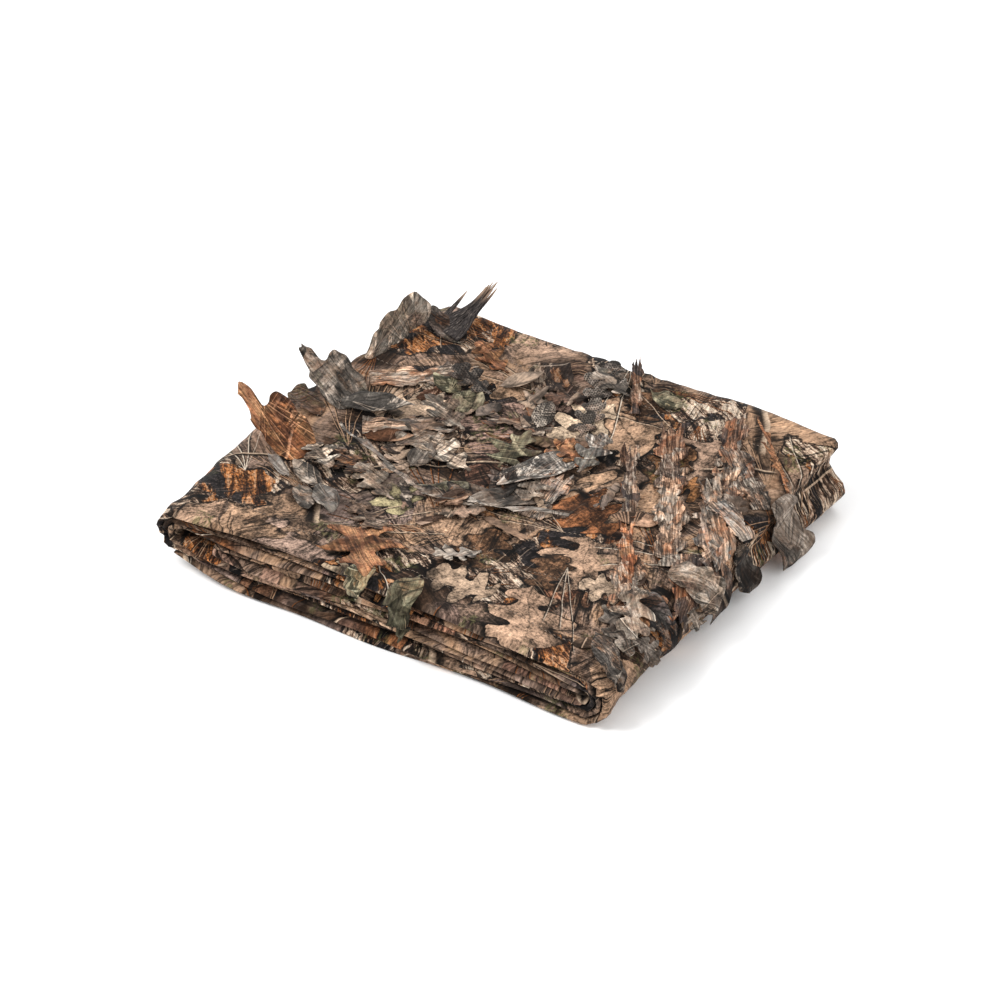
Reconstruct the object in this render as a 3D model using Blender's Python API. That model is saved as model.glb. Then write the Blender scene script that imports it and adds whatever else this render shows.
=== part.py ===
"""A length of leaf-cut blind fabric, folded flat as it is carried and stored.

The cloth is 1.42 m wide and 3.66 m long. It is folded in four along its length, and the
band that this makes is wound flat into nine layers. Leaves, bark strips and needle tufts
of the same cloth are die-cut and sewn on at one end, so that they stand off the face.

Metres, +Z up. X runs along the layered edge, Y from that edge to the back, and the
origin is under the middle of the bundle, on the surface that it lies on.
"""

import math
from collections import namedtuple

import bmesh
import bpy
from mathutils import Vector

# The cloth as cut, and as folded
CLOTH_WIDTH = 1.424
FOLDS_ACROSS = 4
DEPTH = CLOTH_WIDTH / FOLDS_ACROSS
WIDTH = 0.406
LAYERS = 9
PITCH = 0.0054
BAND = 0.0050

for old in list(bpy.data.objects):
    bpy.data.objects.remove(old)


# The winding, as a section across the bundle: x along the layered edge, z up
Turn = namedtuple("Turn", "side lower upper inset reach")

# One row for each turn, from the inner end of the winding outwards. lower and upper are
# the layers it joins, inset is its distance in from the bundle's nose and reach its depth.
TURNS = (
    Turn("left", 4, 5, 0.0520, 0.0060),
    Turn("right", 3, 5, 0.0170, 0.0078),
    Turn("left", 3, 6, 0.0108, 0.0152),
    Turn("right", 2, 6, 0.0112, 0.0132),
    Turn("left", 2, 7, 0.0054, 0.0206),
    Turn("right", 1, 7, 0.0056, 0.0186),
    Turn("left", 1, 8, 0.0000, 0.0260),
    Turn("right", 0, 8, 0.0000, 0.0240),
)
INNER_END_INSET = 0.030
OUTER_END_INSET = 0.014
COLUMNS = 11
COLUMN_SPAN = (-0.146, 0.170)
STEPS_OF_WIDE_TURN = 8
STEPS_OF_TIGHT_TURN = 4
TIGHT_TURN = 1.5 * PITCH


def layer_height(layer):
    """The middle of a layer. The underside of the lowest is at 0."""
    return layer * PITCH + BAND / 2


def run_columns(x_from, x_to):
    """The shared columns that lie between two places on a straight layer, in order."""
    low, high = COLUMN_SPAN
    columns = [low + (high - low) * i / (COLUMNS - 1) for i in range(COLUMNS)]
    inside = [x for x in columns if min(x_from, x_to) < x < max(x_from, x_to)]
    return inside if x_to > x_from else inside[::-1]


def layer_points(layer, x_values):
    """(inward side, outward side) of the band at places along one layer."""
    z = layer_height(layer)
    inward = BAND / 2 if layer <= LAYERS // 2 else -BAND / 2
    return [((x, z + inward), (x, z - inward)) for x in x_values]


def turn_start(turn):
    """Where a turn leaves the straight layers."""
    edge = WIDTH / 2 - turn.inset - turn.reach
    return edge if turn.side == "right" else -edge


def turn_points(turn, rising):
    """(inward side, outward side) of the band round one turn, as half ellipses."""
    outward = 1 if turn.side == "right" else -1
    x_middle = turn_start(turn)
    z_middle = (layer_height(turn.lower) + layer_height(turn.upper)) / 2
    rise = (layer_height(turn.upper) - layer_height(turn.lower)) / 2
    steps = STEPS_OF_TIGHT_TURN if rise < TIGHT_TURN else STEPS_OF_WIDE_TURN
    points = []
    for step in range(steps + 1):
        angle = math.pi * (step / steps - 0.5)
        if not rising:
            angle = -angle
        sides = []
        for half_band in (-BAND / 2, BAND / 2):
            x = x_middle + outward * (turn.reach + half_band) * math.cos(angle)
            z = z_middle + (rise + half_band) * math.sin(angle)
            sides.append((x, z))
        points.append(tuple(sides))
    return points


def winding():
    """The band's whole section, from its inner end to its outer end."""
    layer = LAYERS // 2
    x_now = WIDTH / 2 - INNER_END_INSET
    points = layer_points(layer, [x_now])
    for turn in TURNS:
        points += layer_points(layer, run_columns(x_now, turn_start(turn)))
        rising = layer == turn.lower
        points += turn_points(turn, rising)
        layer = turn.upper if rising else turn.lower
        x_now = turn_start(turn)
    x_end = -WIDTH / 2 + OUTER_END_INSET
    points += layer_points(layer, run_columns(x_now, x_end) + [x_end])
    return points


# How the bundle has settled. Each row is air between the layers, or a slack or pinched
# place, with its middle, how far it reaches and how much it lifts what lies over it.
# above is the layer that rises first: 0 spreads the change through the whole height.
Swell = namedtuple("Swell", "x y reach_x reach_y above rise")
SWELLS = (
    Swell(-0.205, -0.180, 0.050, 0.070, 0, -0.0110),
    Swell(-0.130, -0.180, 0.050, 0.060, 8, 0.0050),
    Swell(-0.060, -0.170, 0.080, 0.070, 6, 0.0045),
    Swell(0.010, -0.170, 0.095, 0.080, 2, 0.0030),
    Swell(0.205, -0.180, 0.070, 0.080, 0, -0.0035),
    Swell(0.150, 0.165, 0.120, 0.090, 0, 0.0085),
    Swell(-0.165, 0.000, 0.080, 0.150, 0, 0.0060),
    Swell(-0.040, 0.170, 0.110, 0.060, 0, 0.0045),
    Swell(0.040, 0.030, 0.080, 0.070, 0, -0.0020),
    Swell(0.120, -0.060, 0.060, 0.090, 8, 0.0025),
)
# The rolled left corner at the front doesn't reach the ground
CORNER_LIFT = 0.0105
CORNER_LIFT_REACH = (0.050, 0.110)
FRONT_BULGE = 0.006
LEFT_BULGE = 0.014
RIGHT_LEAN = 0.014
RIGHT_HOLLOW = 0.005
FRONT_RIGHT_SET_BACK = 0.006
UPPER_SET_BACK = 0.004
UPPER_SHIFT_BACK = 0.008
WAIST = 0.020
WAIST_HEIGHT = 0.61
WAIST_SPREAD = 0.20
EDGE_WANDER = 0.0020
# Layers that lie a little further in than the others along the layered front edge
SetBack = namedtuple("SetBack", "layer depth")
SET_BACKS = (SetBack(7, 0.004), SetBack(5, 0.006), SetBack(2, 0.005))


def smooth(low, high, value):
    """0 at low and beyond, 1 at high and beyond, and a soft step between them."""
    t = min(1.0, max(0.0, (value - low) / (high - low)))
    return t * t * (3 - 2 * t)


def bell(distance, reach):
    return math.exp(-((distance / reach) ** 2))


def settle(x, y, z):
    """A place in the flat, square winding, moved to where it lies in the real bundle."""
    level = z / PITCH
    share = level / LAYERS
    along = x / WIDTH + 0.5
    back = y / DEPTH + 0.5
    height = z
    for s in SWELLS:
        lifted = share if s.above == 0 else smooth(s.above - 0.16, s.above - 0.02, level)
        height += s.rise * lifted * bell(x - s.x, s.reach_x) * bell(y - s.y, s.reach_y)
    lift_x, lift_y = CORNER_LIFT_REACH
    height += CORNER_LIFT * bell(x + WIDTH / 2, lift_x) * bell(y + DEPTH / 2, lift_y)
    at_right, at_back = smooth(0.45, 1.0, along), smooth(0.35, 1.0, back)
    upper = smooth(0.40, 0.75, share)
    moved_x = x - LEFT_BULGE * smooth(0.5, 0.0, along) * bell(back - 0.54, 0.36)
    moved_x -= RIGHT_LEAN * along * smooth(-0.2, 0.5, back)
    moved_x -= RIGHT_HOLLOW * smooth(0.7, 1.0, along) * bell(back - 0.15, 0.16)
    moved_x -= UPPER_SET_BACK * upper * at_right * at_back
    moved_x -= WAIST * bell(share - WAIST_HEIGHT, WAIST_SPREAD) * smooth(0.8, 1.0, along) * at_back
    moved_y = y - FRONT_BULGE * bell(along - 0.12, 0.25) * (1 - back)
    moved_y += UPPER_SHIFT_BACK * upper * at_right * at_back
    wander = math.sin(5.1 * level + 9 * along) + 0.7 * math.sin(2.3 * level - 17 * along)
    moved_y += EDGE_WANDER * wander * abs(2 * back - 1) ** 3
    moved_y += FRONT_RIGHT_SET_BACK * smooth(0.5, 1.0, along) * (1 - back) ** 2
    between_ends = smooth(0.04, 0.20, along) * smooth(0.95, 0.75, along)
    for row in SET_BACKS:
        moved_y += row.depth * bell(level - row.layer - 0.4, 0.45) * between_ends * (1 - back) ** 3
    return Vector((moved_x, moved_y, height))


# The band is swept from the front edge to the back. Its edges are folds, so they are round.
EDGE_STATIONS = ((0.0, 0.30), (0.0014, 0.80), (0.0042, 1.0))
INNER_STATIONS = 7


def stations():
    """(y, share of the band's thickness) from the front edge to the back."""
    front = [(-DEPTH / 2 + inset, share) for inset, share in EDGE_STATIONS]
    back = [(-y, share) for y, share in reversed(front)]
    span = DEPTH - 2 * EDGE_STATIONS[-1][0]
    inner = [
        (-span / 2 + span * i / (INNER_STATIONS + 1), 1.0) for i in range(1, INNER_STATIONS + 1)
    ]
    return front + inner + back


# Printed cloth, by its main tone
COLOURS = {
    "printed_cloth": (0.20, 0.14, 0.10),
    "rust": (0.33, 0.12, 0.05),
    "grey": (0.22, 0.20, 0.18),
    "beige": (0.42, 0.31, 0.20),
    "white": (0.50, 0.47, 0.42),
    "dark": (0.05, 0.04, 0.03),
    "green": (0.15, 0.16, 0.06),
    "brown": (0.16, 0.09, 0.05),
}


def cloth_material(name):
    if name in bpy.data.materials:
        return bpy.data.materials[name]
    material = bpy.data.materials.new(name)
    material.use_nodes = True
    shader = material.node_tree.nodes["Principled BSDF"]
    shader.inputs["Base Color"].default_value = (*COLOURS[name], 1)
    shader.inputs["Roughness"].default_value = 0.85
    shader.inputs["Metallic"].default_value = 0.0
    return material


def new_object(name, work, material):
    """An object from a bmesh, which is freed."""
    mesh = bpy.data.meshes.new(name)
    work.to_mesh(mesh)
    work.free()
    mesh.shade_smooth()
    mesh.materials.append(cloth_material(material))
    thing = bpy.data.objects.new(name, mesh)
    bpy.context.scene.collection.objects.link(thing)
    return thing


def fold_cloth():
    """The folded cloth: one closed solid, the winding swept from front to back."""
    section = winding()
    work = bmesh.new()
    rings = []
    for y, share in stations():
        inward, outward = [], []
        for (xa, za), (xb, zb) in section:
            xm, zm = (xa + xb) / 2, (za + zb) / 2
            a = settle(xm + (xa - xm) * share, y, zm + (za - zm) * share)
            b = settle(xm + (xb - xm) * share, y, zm + (zb - zm) * share)
            inward.append(work.verts.new(a))
            outward.append(work.verts.new(b))
        rings.append(inward + outward[::-1])
    count = len(rings[0])
    for near, far in zip(rings, rings[1:]):
        for i in range(count):
            j = (i + 1) % count
            work.faces.new((near[i], near[j], far[j], far[i]))
    for ring in (rings[0], rings[-1]):
        for i in range(len(section) - 1):
            work.faces.new((ring[i], ring[i + 1], ring[count - 2 - i], ring[count - 1 - i]))
    bmesh.ops.recalc_face_normals(work, faces=work.faces)
    return new_object("folded_cloth", work, "printed_cloth")


# The cut-outs: leaves, bark strips and tufts, each sewn on at its root
CUTOUT_THICK = 0.0012
CUTOUT_GAP = 0.0010
TIER = 0.0024

# Half outlines from root to tip: share of the length, share of the half width, and how
# far the edge sweeps on towards the tip, as a share of the length
OUTLINES = {
    "oak": (
        (0.00, 0.12, 0.0), (0.12, 0.20, 0.0), (0.20, 0.62, 0.02), (0.27, 0.66, 0.04),
        (0.36, 0.36, 0.0), (0.44, 0.94, 0.03), (0.52, 1.00, 0.05), (0.61, 0.46, 0.0),
        (0.69, 0.80, 0.03), (0.78, 0.82, 0.05), (0.88, 0.40, 0.0), (1.00, 0.16, 0.0),
    ),
    "fingered": (
        (0.00, 0.50, 0.0), (0.18, 0.70, 0.0), (0.34, 0.90, 0.0), (0.50, 1.00, 0.05),
        (0.58, 0.94, 0.17), (0.62, 0.64, 0.17), (0.67, 0.34, 0.06), (0.78, 0.28, 0.0),
        (0.92, 0.25, 0.0), (1.00, 0.10, 0.0),
    ),
    "maple": (
        (0.00, 0.08, 0.0), (0.10, 0.14, 0.0), (0.18, 0.72, -0.04), (0.32, 0.34, 0.0),
        (0.42, 1.00, 0.12), (0.56, 0.32, 0.0), (0.68, 0.56, 0.08), (0.82, 0.22, 0.0),
        (1.00, 0.04, 0.0),
    ),
    "leaf": (
        (0.00, 0.12, 0.0), (0.15, 0.55, 0.0), (0.35, 0.92, 0.0), (0.55, 1.00, 0.0),
        (0.75, 0.75, 0.0), (0.90, 0.38, 0.0), (1.00, 0.08, 0.0),
    ),
    "bark": (
        (0.00, 0.80, 0.0), (0.12, 1.00, 0.0), (0.26, 0.62, 0.0), (0.38, 0.94, 0.0),
        (0.52, 0.70, 0.0), (0.66, 1.00, 0.0), (0.80, 0.54, 0.0), (0.90, 0.66, 0.0),
        (1.00, 0.20, 0.0),
    ),
}
# A tuft's spikes are drawn together at their tips. The last one stands off to the side.
TUFT_SPIKES = 6
TUFT_BASE = 0.42
TUFT_SHARES = (1.0, 0.62, 0.30)
TUFT_TIPS = (0.80, 0.93, 1.00, 0.96, 0.84, 0.66)
TUFT_SIDE_SPIKE = 0.80

# x and y place the root, heading is the way that it points (0 along +X, 90 along +Y),
# roll turns it about that line, left side up, and rise is how far its tip stands off what
# is under it. A tier lies over the tiers below it. Those in STANDING go straight on from
# the cloth, and those in LAID follow it, over its right turn and down its front edge too.
Cutout = namedtuple("Cutout", "name outline tone x y heading roll length width rise tier")
STANDING = (
    Cutout("edge_leaf_rust", "fingered", "rust", -0.138, -0.065, 172, 0, 0.076, 0.039, 0.037, 0),
    Cutout("edge_leaf_grey", "fingered", "grey", -0.145, 0.012, 166, 0, 0.070, 0.039, 0.032, 0),
    Cutout("edge_leaf_beige", "leaf", "beige", -0.183, 0.075, 85, 40, 0.074, 0.025, 0.010, 0),
    Cutout("edge_tuft", "tuft", "dark", -0.158, 0.136, 75, 0, 0.063, 0.036, 0.026, 2),
    Cutout("back_strip_tip", "bark", "brown", 0.036, 0.123, 123, 0, 0.074, 0.012, 0.006, 1),
    Cutout("mesh_leaf", "oak", "grey", -0.006, 0.119, 99, 0, 0.052, 0.036, 0.010, 0),
)
LAID = (
    Cutout("left_leaf_grey", "leaf", "grey", -0.124, -0.098, 313, 0, 0.042, 0.018, 0.002, 0),
    Cutout("left_leaf_white", "leaf", "white", -0.110, -0.090, 314, 0, 0.045, 0.020, 0.002, 1),
    Cutout("left_bark", "bark", "beige", -0.159, 0.048, 41, 0, 0.086, 0.034, 0.004, 0),
    Cutout("left_bark_low", "bark", "grey", -0.128, -0.005, 33, 0, 0.070, 0.026, 0.004, 0),
    Cutout("back_leaf_brown", "leaf", "brown", -0.056, 0.112, 77, 0, 0.040, 0.040, 0.003, 0),
    Cutout("oak_leaf_high", "oak", "beige", -0.062, 0.030, 159, 0, 0.046, 0.030, 0.004, 3),
    Cutout("oak_leaf_mid", "oak", "beige", -0.030, -0.008, 167, 0, 0.050, 0.032, 0.004, 1),
    Cutout("oak_leaf_low", "oak", "brown", -0.066, -0.036, 146, 0, 0.036, 0.024, 0.003, 0),
    Cutout("green_patch", "maple", "green", -0.016, 0.012, 96, 0, 0.048, 0.036, 0.002, 0),
    Cutout("green_leaf_left", "leaf", "green", -0.084, 0.052, 92, 0, 0.034, 0.026, 0.003, 0),
    Cutout("striped_leaf", "leaf", "dark", 0.010, -0.030, 108, 0, 0.040, 0.022, 0.005, 1),
    Cutout("mesh_leaf_small", "leaf", "grey", -0.022, 0.070, 103, 0, 0.030, 0.018, 0.005, 1),
    Cutout("mesh_leaf_low", "oak", "grey", 0.012, 0.080, 105, 0, 0.043, 0.026, 0.004, 0),
    Cutout("cream_leaf", "oak", "white", 0.042, 0.036, 97, 0, 0.044, 0.032, 0.006, 2),
    Cutout("rust_leaf_mid", "oak", "rust", 0.018, 0.028, 99, 0, 0.042, 0.028, 0.004, 0),
    Cutout("wood_strip", "bark", "white", 0.044, -0.034, 99, 0, 0.066, 0.032, 0.003, 0),
    Cutout("white_leaf", "oak", "white", 0.038, -0.092, 242, 0, 0.042, 0.028, 0.005, 0),
    Cutout("maple_leaf", "maple", "rust", -0.056, -0.112, 322, 0, 0.078, 0.068, 0.003, 0),
    Cutout("front_leaf_short", "leaf", "green", -0.016, -0.158, 272, 0, 0.046, 0.020, 0.003, 2),
    Cutout("front_leaf_long", "leaf", "green", 0.022, -0.152, 276, 0, 0.070, 0.024, 0.003, 2),
    Cutout("strip_front", "bark", "rust", 0.166, -0.080, 124, 0, 0.092, 0.018, 0.004, 1),
    Cutout("strip_middle", "bark", "brown", 0.112, 0.004, 124, 0, 0.098, 0.018, 0.004, 1),
    Cutout("strip_wide_front", "bark", "beige", 0.172, -0.030, 123, 0, 0.086, 0.032, 0.003, 0),
    Cutout("strip_wide_back", "bark", "brown", 0.120, 0.048, 123, 0, 0.090, 0.032, 0.003, 0),
    Cutout("strip_right_front", "bark", "beige", 0.180, 0.030, 121, 0, 0.078, 0.030, 0.003, 0),
    Cutout("strip_right_back", "bark", "brown", 0.140, 0.100, 118, 0, 0.066, 0.028, 0.003, 0),
    Cutout("nose_leaf_beige", "oak", "beige", 0.164, -0.066, 300, 0, 0.073, 0.034, 0.004, 0),
    Cutout("nose_leaf_wide", "maple", "beige", 0.181, -0.039, 25, 0, 0.055, 0.032, 0.004, 1),
    Cutout("nose_leaf_bark", "oak", "grey", 0.199, -0.047, 346, 0, 0.034, 0.028, 0.007, 0),
    Cutout("nose_leaf_grey", "oak", "grey", 0.198, -0.120, 6, 0, 0.033, 0.024, 0.004, 3),
    Cutout("nose_leaf_dark", "oak", "dark", 0.197, 0.027, 357, 0, 0.046, 0.030, 0.008, 0),
    Cutout("nose_leaf_back", "fingered", "grey", 0.194, 0.087, 2, 0, 0.065, 0.044, 0.009, 1),
)

# Where the top layer turns down, at the right, and where the front edge rounds off
TOP = (LAYERS - 1) * PITCH + BAND
NOSE_X = turn_start(TURNS[-1])
NOSE_REACH = TURNS[-1].reach + BAND / 2
EDGE_ROUND = 0.006
EDGE_CLEARANCE = 0.004
CUP = 0.06


def over_cloth(x, y, gap):
    """A place at a distance off the cloth's outer face, also past its nose or front edge."""
    z = TOP + gap
    if x > NOSE_X:
        angle = min((x - NOSE_X) / (TOP / 2 + gap), 0.8 * math.pi)
        x = NOSE_X + (NOSE_REACH + gap) * math.sin(angle)
        z = TOP / 2 + (TOP / 2 + gap) * math.cos(angle)
    past_edge = -DEPTH / 2 + EDGE_ROUND - y
    if past_edge > 0:
        radius = EDGE_ROUND + gap + EDGE_CLEARANCE * smooth(0.0, 0.006, past_edge)
        angle = min(past_edge / radius, math.pi / 2)
        y = -DEPTH / 2 + EDGE_ROUND - radius * math.sin(angle)
        z -= radius * (1 - math.cos(angle)) + past_edge - radius * angle
    return settle(x, y, z)


def cutout_point(cutout, along, across, laid):
    """A place on a cut-out's middle surface, from shares of its length and half width."""
    gap = CUTOUT_GAP + CUTOUT_THICK / 2 + cutout.tier * TIER
    half_width = cutout.width / 2
    gap += cutout.rise * along ** 1.5 + CUP * half_width * across * across
    turned = math.radians(cutout.heading)
    ahead = Vector((math.cos(turned), math.sin(turned)))
    sideways = Vector((-ahead.y, ahead.x))
    if laid:
        reach = cutout.length * along
        flat = Vector((cutout.x, cutout.y)) + ahead * reach + sideways * across * half_width
        return over_cloth(flat.x, flat.y, gap)
    reach = math.sqrt(cutout.length**2 - cutout.rise**2) * along
    roll = math.radians(cutout.roll)
    flat = ahead * reach + sideways * across * half_width * math.cos(roll)
    gap += (1 + across) * half_width * math.sin(roll)
    root = over_cloth(cutout.x, cutout.y, 0)
    return root + Vector((flat.x, flat.y, gap))


def strip_faces(work, cutout, laid):
    """A lobed cut-out as a strip of faces, two across."""
    rows = []
    for along, share, sweep in OUTLINES[cutout.outline]:
        edges = ((along + sweep, share), (along, 0.0), (along + sweep, -share))
        rows.append([work.verts.new(cutout_point(cutout, a, s, laid)) for a, s in edges])
    for near, far in zip(rows, rows[1:]):
        for i in range(2):
            work.faces.new((near[i], near[i + 1], far[i + 1], far[i]))


def tuft_faces(work, cutout, laid):
    """A tuft: a broad solid base that splits into pointed spikes of uneven length."""
    at_root, at_base, at_tips = TUFT_SHARES
    places = [2 * i / TUFT_SPIKES - 1 for i in range(TUFT_SPIKES + 1)]
    root = [work.verts.new(cutout_point(cutout, 0.0, p * at_root, laid)) for p in places]
    base = [work.verts.new(cutout_point(cutout, TUFT_BASE, p * at_base, laid)) for p in places]
    for i, tip_along in enumerate(TUFT_TIPS):
        work.faces.new((root[i], root[i + 1], base[i + 1], base[i]))
        tip_across = at_tips * (places[i] + places[i + 1]) / 2
        if i == TUFT_SPIKES - 1:
            tip_across = TUFT_SIDE_SPIKE
        tip = work.verts.new(cutout_point(cutout, tip_along, tip_across, laid))
        work.faces.new((base[i], base[i + 1], tip))


def cut_out(cutout, laid):
    """One cut-out as a thin closed solid, held a little off what it lies on."""
    work = bmesh.new()
    if cutout.outline == "tuft":
        tuft_faces(work, cutout, laid)
    else:
        strip_faces(work, cutout, laid)
    bmesh.ops.recalc_face_normals(work, faces=work.faces)
    thing = new_object(cutout.name, work, cutout.tone)
    shell = thing.modifiers.new("thickness", "SOLIDIFY")
    shell.thickness = CUTOUT_THICK
    shell.offset = 0.0
    return thing


fold_cloth()
for row in STANDING:
    cut_out(row, laid=False)
for row in LAID:
    cut_out(row, laid=True)
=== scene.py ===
"""The looks of the folded blind fabric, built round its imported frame."""

import math
from collections import namedtuple

import bmesh
import bpy
import numpy as np
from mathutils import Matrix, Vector
from mathutils.geometry import delaunay_2d_cdt


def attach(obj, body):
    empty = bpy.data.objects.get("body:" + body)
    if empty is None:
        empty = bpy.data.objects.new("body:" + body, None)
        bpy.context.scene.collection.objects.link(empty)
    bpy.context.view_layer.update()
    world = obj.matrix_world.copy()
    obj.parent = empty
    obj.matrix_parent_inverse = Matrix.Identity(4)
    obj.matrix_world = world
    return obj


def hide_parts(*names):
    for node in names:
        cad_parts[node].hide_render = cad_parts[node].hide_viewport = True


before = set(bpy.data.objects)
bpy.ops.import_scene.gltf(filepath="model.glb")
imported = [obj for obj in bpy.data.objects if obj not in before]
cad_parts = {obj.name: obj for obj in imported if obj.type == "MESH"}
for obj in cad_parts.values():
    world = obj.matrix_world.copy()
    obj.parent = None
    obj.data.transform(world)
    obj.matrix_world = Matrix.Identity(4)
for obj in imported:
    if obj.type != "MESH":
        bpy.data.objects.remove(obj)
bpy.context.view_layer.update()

scene = bpy.context.scene


def new_object(name, data):
    made = bpy.data.objects.new(name, data)
    scene.collection.objects.link(made)
    return made


def finish_piece(piece, thickness=0.0, replaced=None):
    """Thickens a piece about its middle surface, gives it its body and hides the part that it
    replaces.
    """
    if thickness:
        shell = piece.modifiers.new("thickness", "SOLIDIFY")
        shell.thickness = thickness
        shell.offset = 0.0
    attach(piece, "root")
    if replaced:
        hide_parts(replaced)
    return piece


# The bundle lies on a pale matt floor in soft studio light, seen from a long way off
# through a long lens, so that its sides stay nearly parallel.
AIM = Vector((-0.0210, 0.0088, 0.0205))
AZIMUTH = math.radians(35)
ELEVATION = math.radians(34)
DISTANCE = 4.0
METRES_ACROSS = 0.772
SENSOR_MM = 36
FLOOR_HALF = 3.0
FLOOR_DROP = 0.0002
FLOOR_COLOUR = (0.93, 0.93, 0.93, 1)
WORLD_LIGHT = 0.75

away = Vector((
    math.sin(AZIMUTH) * math.cos(ELEVATION),
    -math.cos(AZIMUTH) * math.cos(ELEVATION),
    math.sin(ELEVATION),
))
camera = new_object("camera", bpy.data.cameras.new("camera"))
camera.data.sensor_width = SENSOR_MM
camera.data.lens = SENSOR_MM * DISTANCE / METRES_ACROSS
camera.location = AIM + away * DISTANCE
camera.rotation_euler = (-away).to_track_quat("-Z", "Y").to_euler()
scene.camera = camera

Lamp = namedtuple("Lamp", "name x y z size watts")
LAMPS = (
    Lamp("key", -1.2, -1.3, 1.9, 1.1, 52),
    Lamp("fill", 1.9, -0.6, 1.4, 1.8, 22),
    Lamp("back", -0.3, 1.9, 1.6, 1.4, 22),
)
for lamp in LAMPS:
    light = bpy.data.lights.new(lamp.name, "AREA")
    light.size = lamp.size
    light.energy = lamp.watts
    holder = new_object(lamp.name, light)
    holder.location = (lamp.x, lamp.y, lamp.z)
    holder.rotation_euler = (-holder.location).to_track_quat("-Z", "Y").to_euler()
scene.world = bpy.data.worlds.new("studio")
scene.world.use_nodes = True
background = scene.world.node_tree.nodes["Background"]
background.inputs["Color"].default_value = (1, 1, 1, 1)
background.inputs["Strength"].default_value = WORLD_LIGHT
scene.view_settings.view_transform = "Standard"


# Node trees, written as sums of values. A Graph adds the nodes and joins them up.
class Value:
    """A value in a node tree. Arithmetic on it adds the nodes that it takes."""

    def __init__(self, graph, socket):
        self.graph = graph
        self.socket = socket

    def __add__(self, other):
        return self.graph.math("ADD", self, other)

    def __sub__(self, other):
        return self.graph.math("SUBTRACT", self, other)

    def __rsub__(self, other):
        return self.graph.math("SUBTRACT", other, self)

    def __mul__(self, other):
        return self.graph.math("MULTIPLY", self, other)

    def __truediv__(self, other):
        return self.graph.math("DIVIDE", self, other)

    def __rtruediv__(self, other):
        return self.graph.math("DIVIDE", other, self)

    def __abs__(self):
        return self.graph.math("ABSOLUTE", self)


class Outputs:
    """A node's outputs as values, by name or by number."""

    def __init__(self, graph, node):
        self.graph = graph
        self.node = node

    def __getitem__(self, key):
        return Value(self.graph, self.node.outputs[key])


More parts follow.
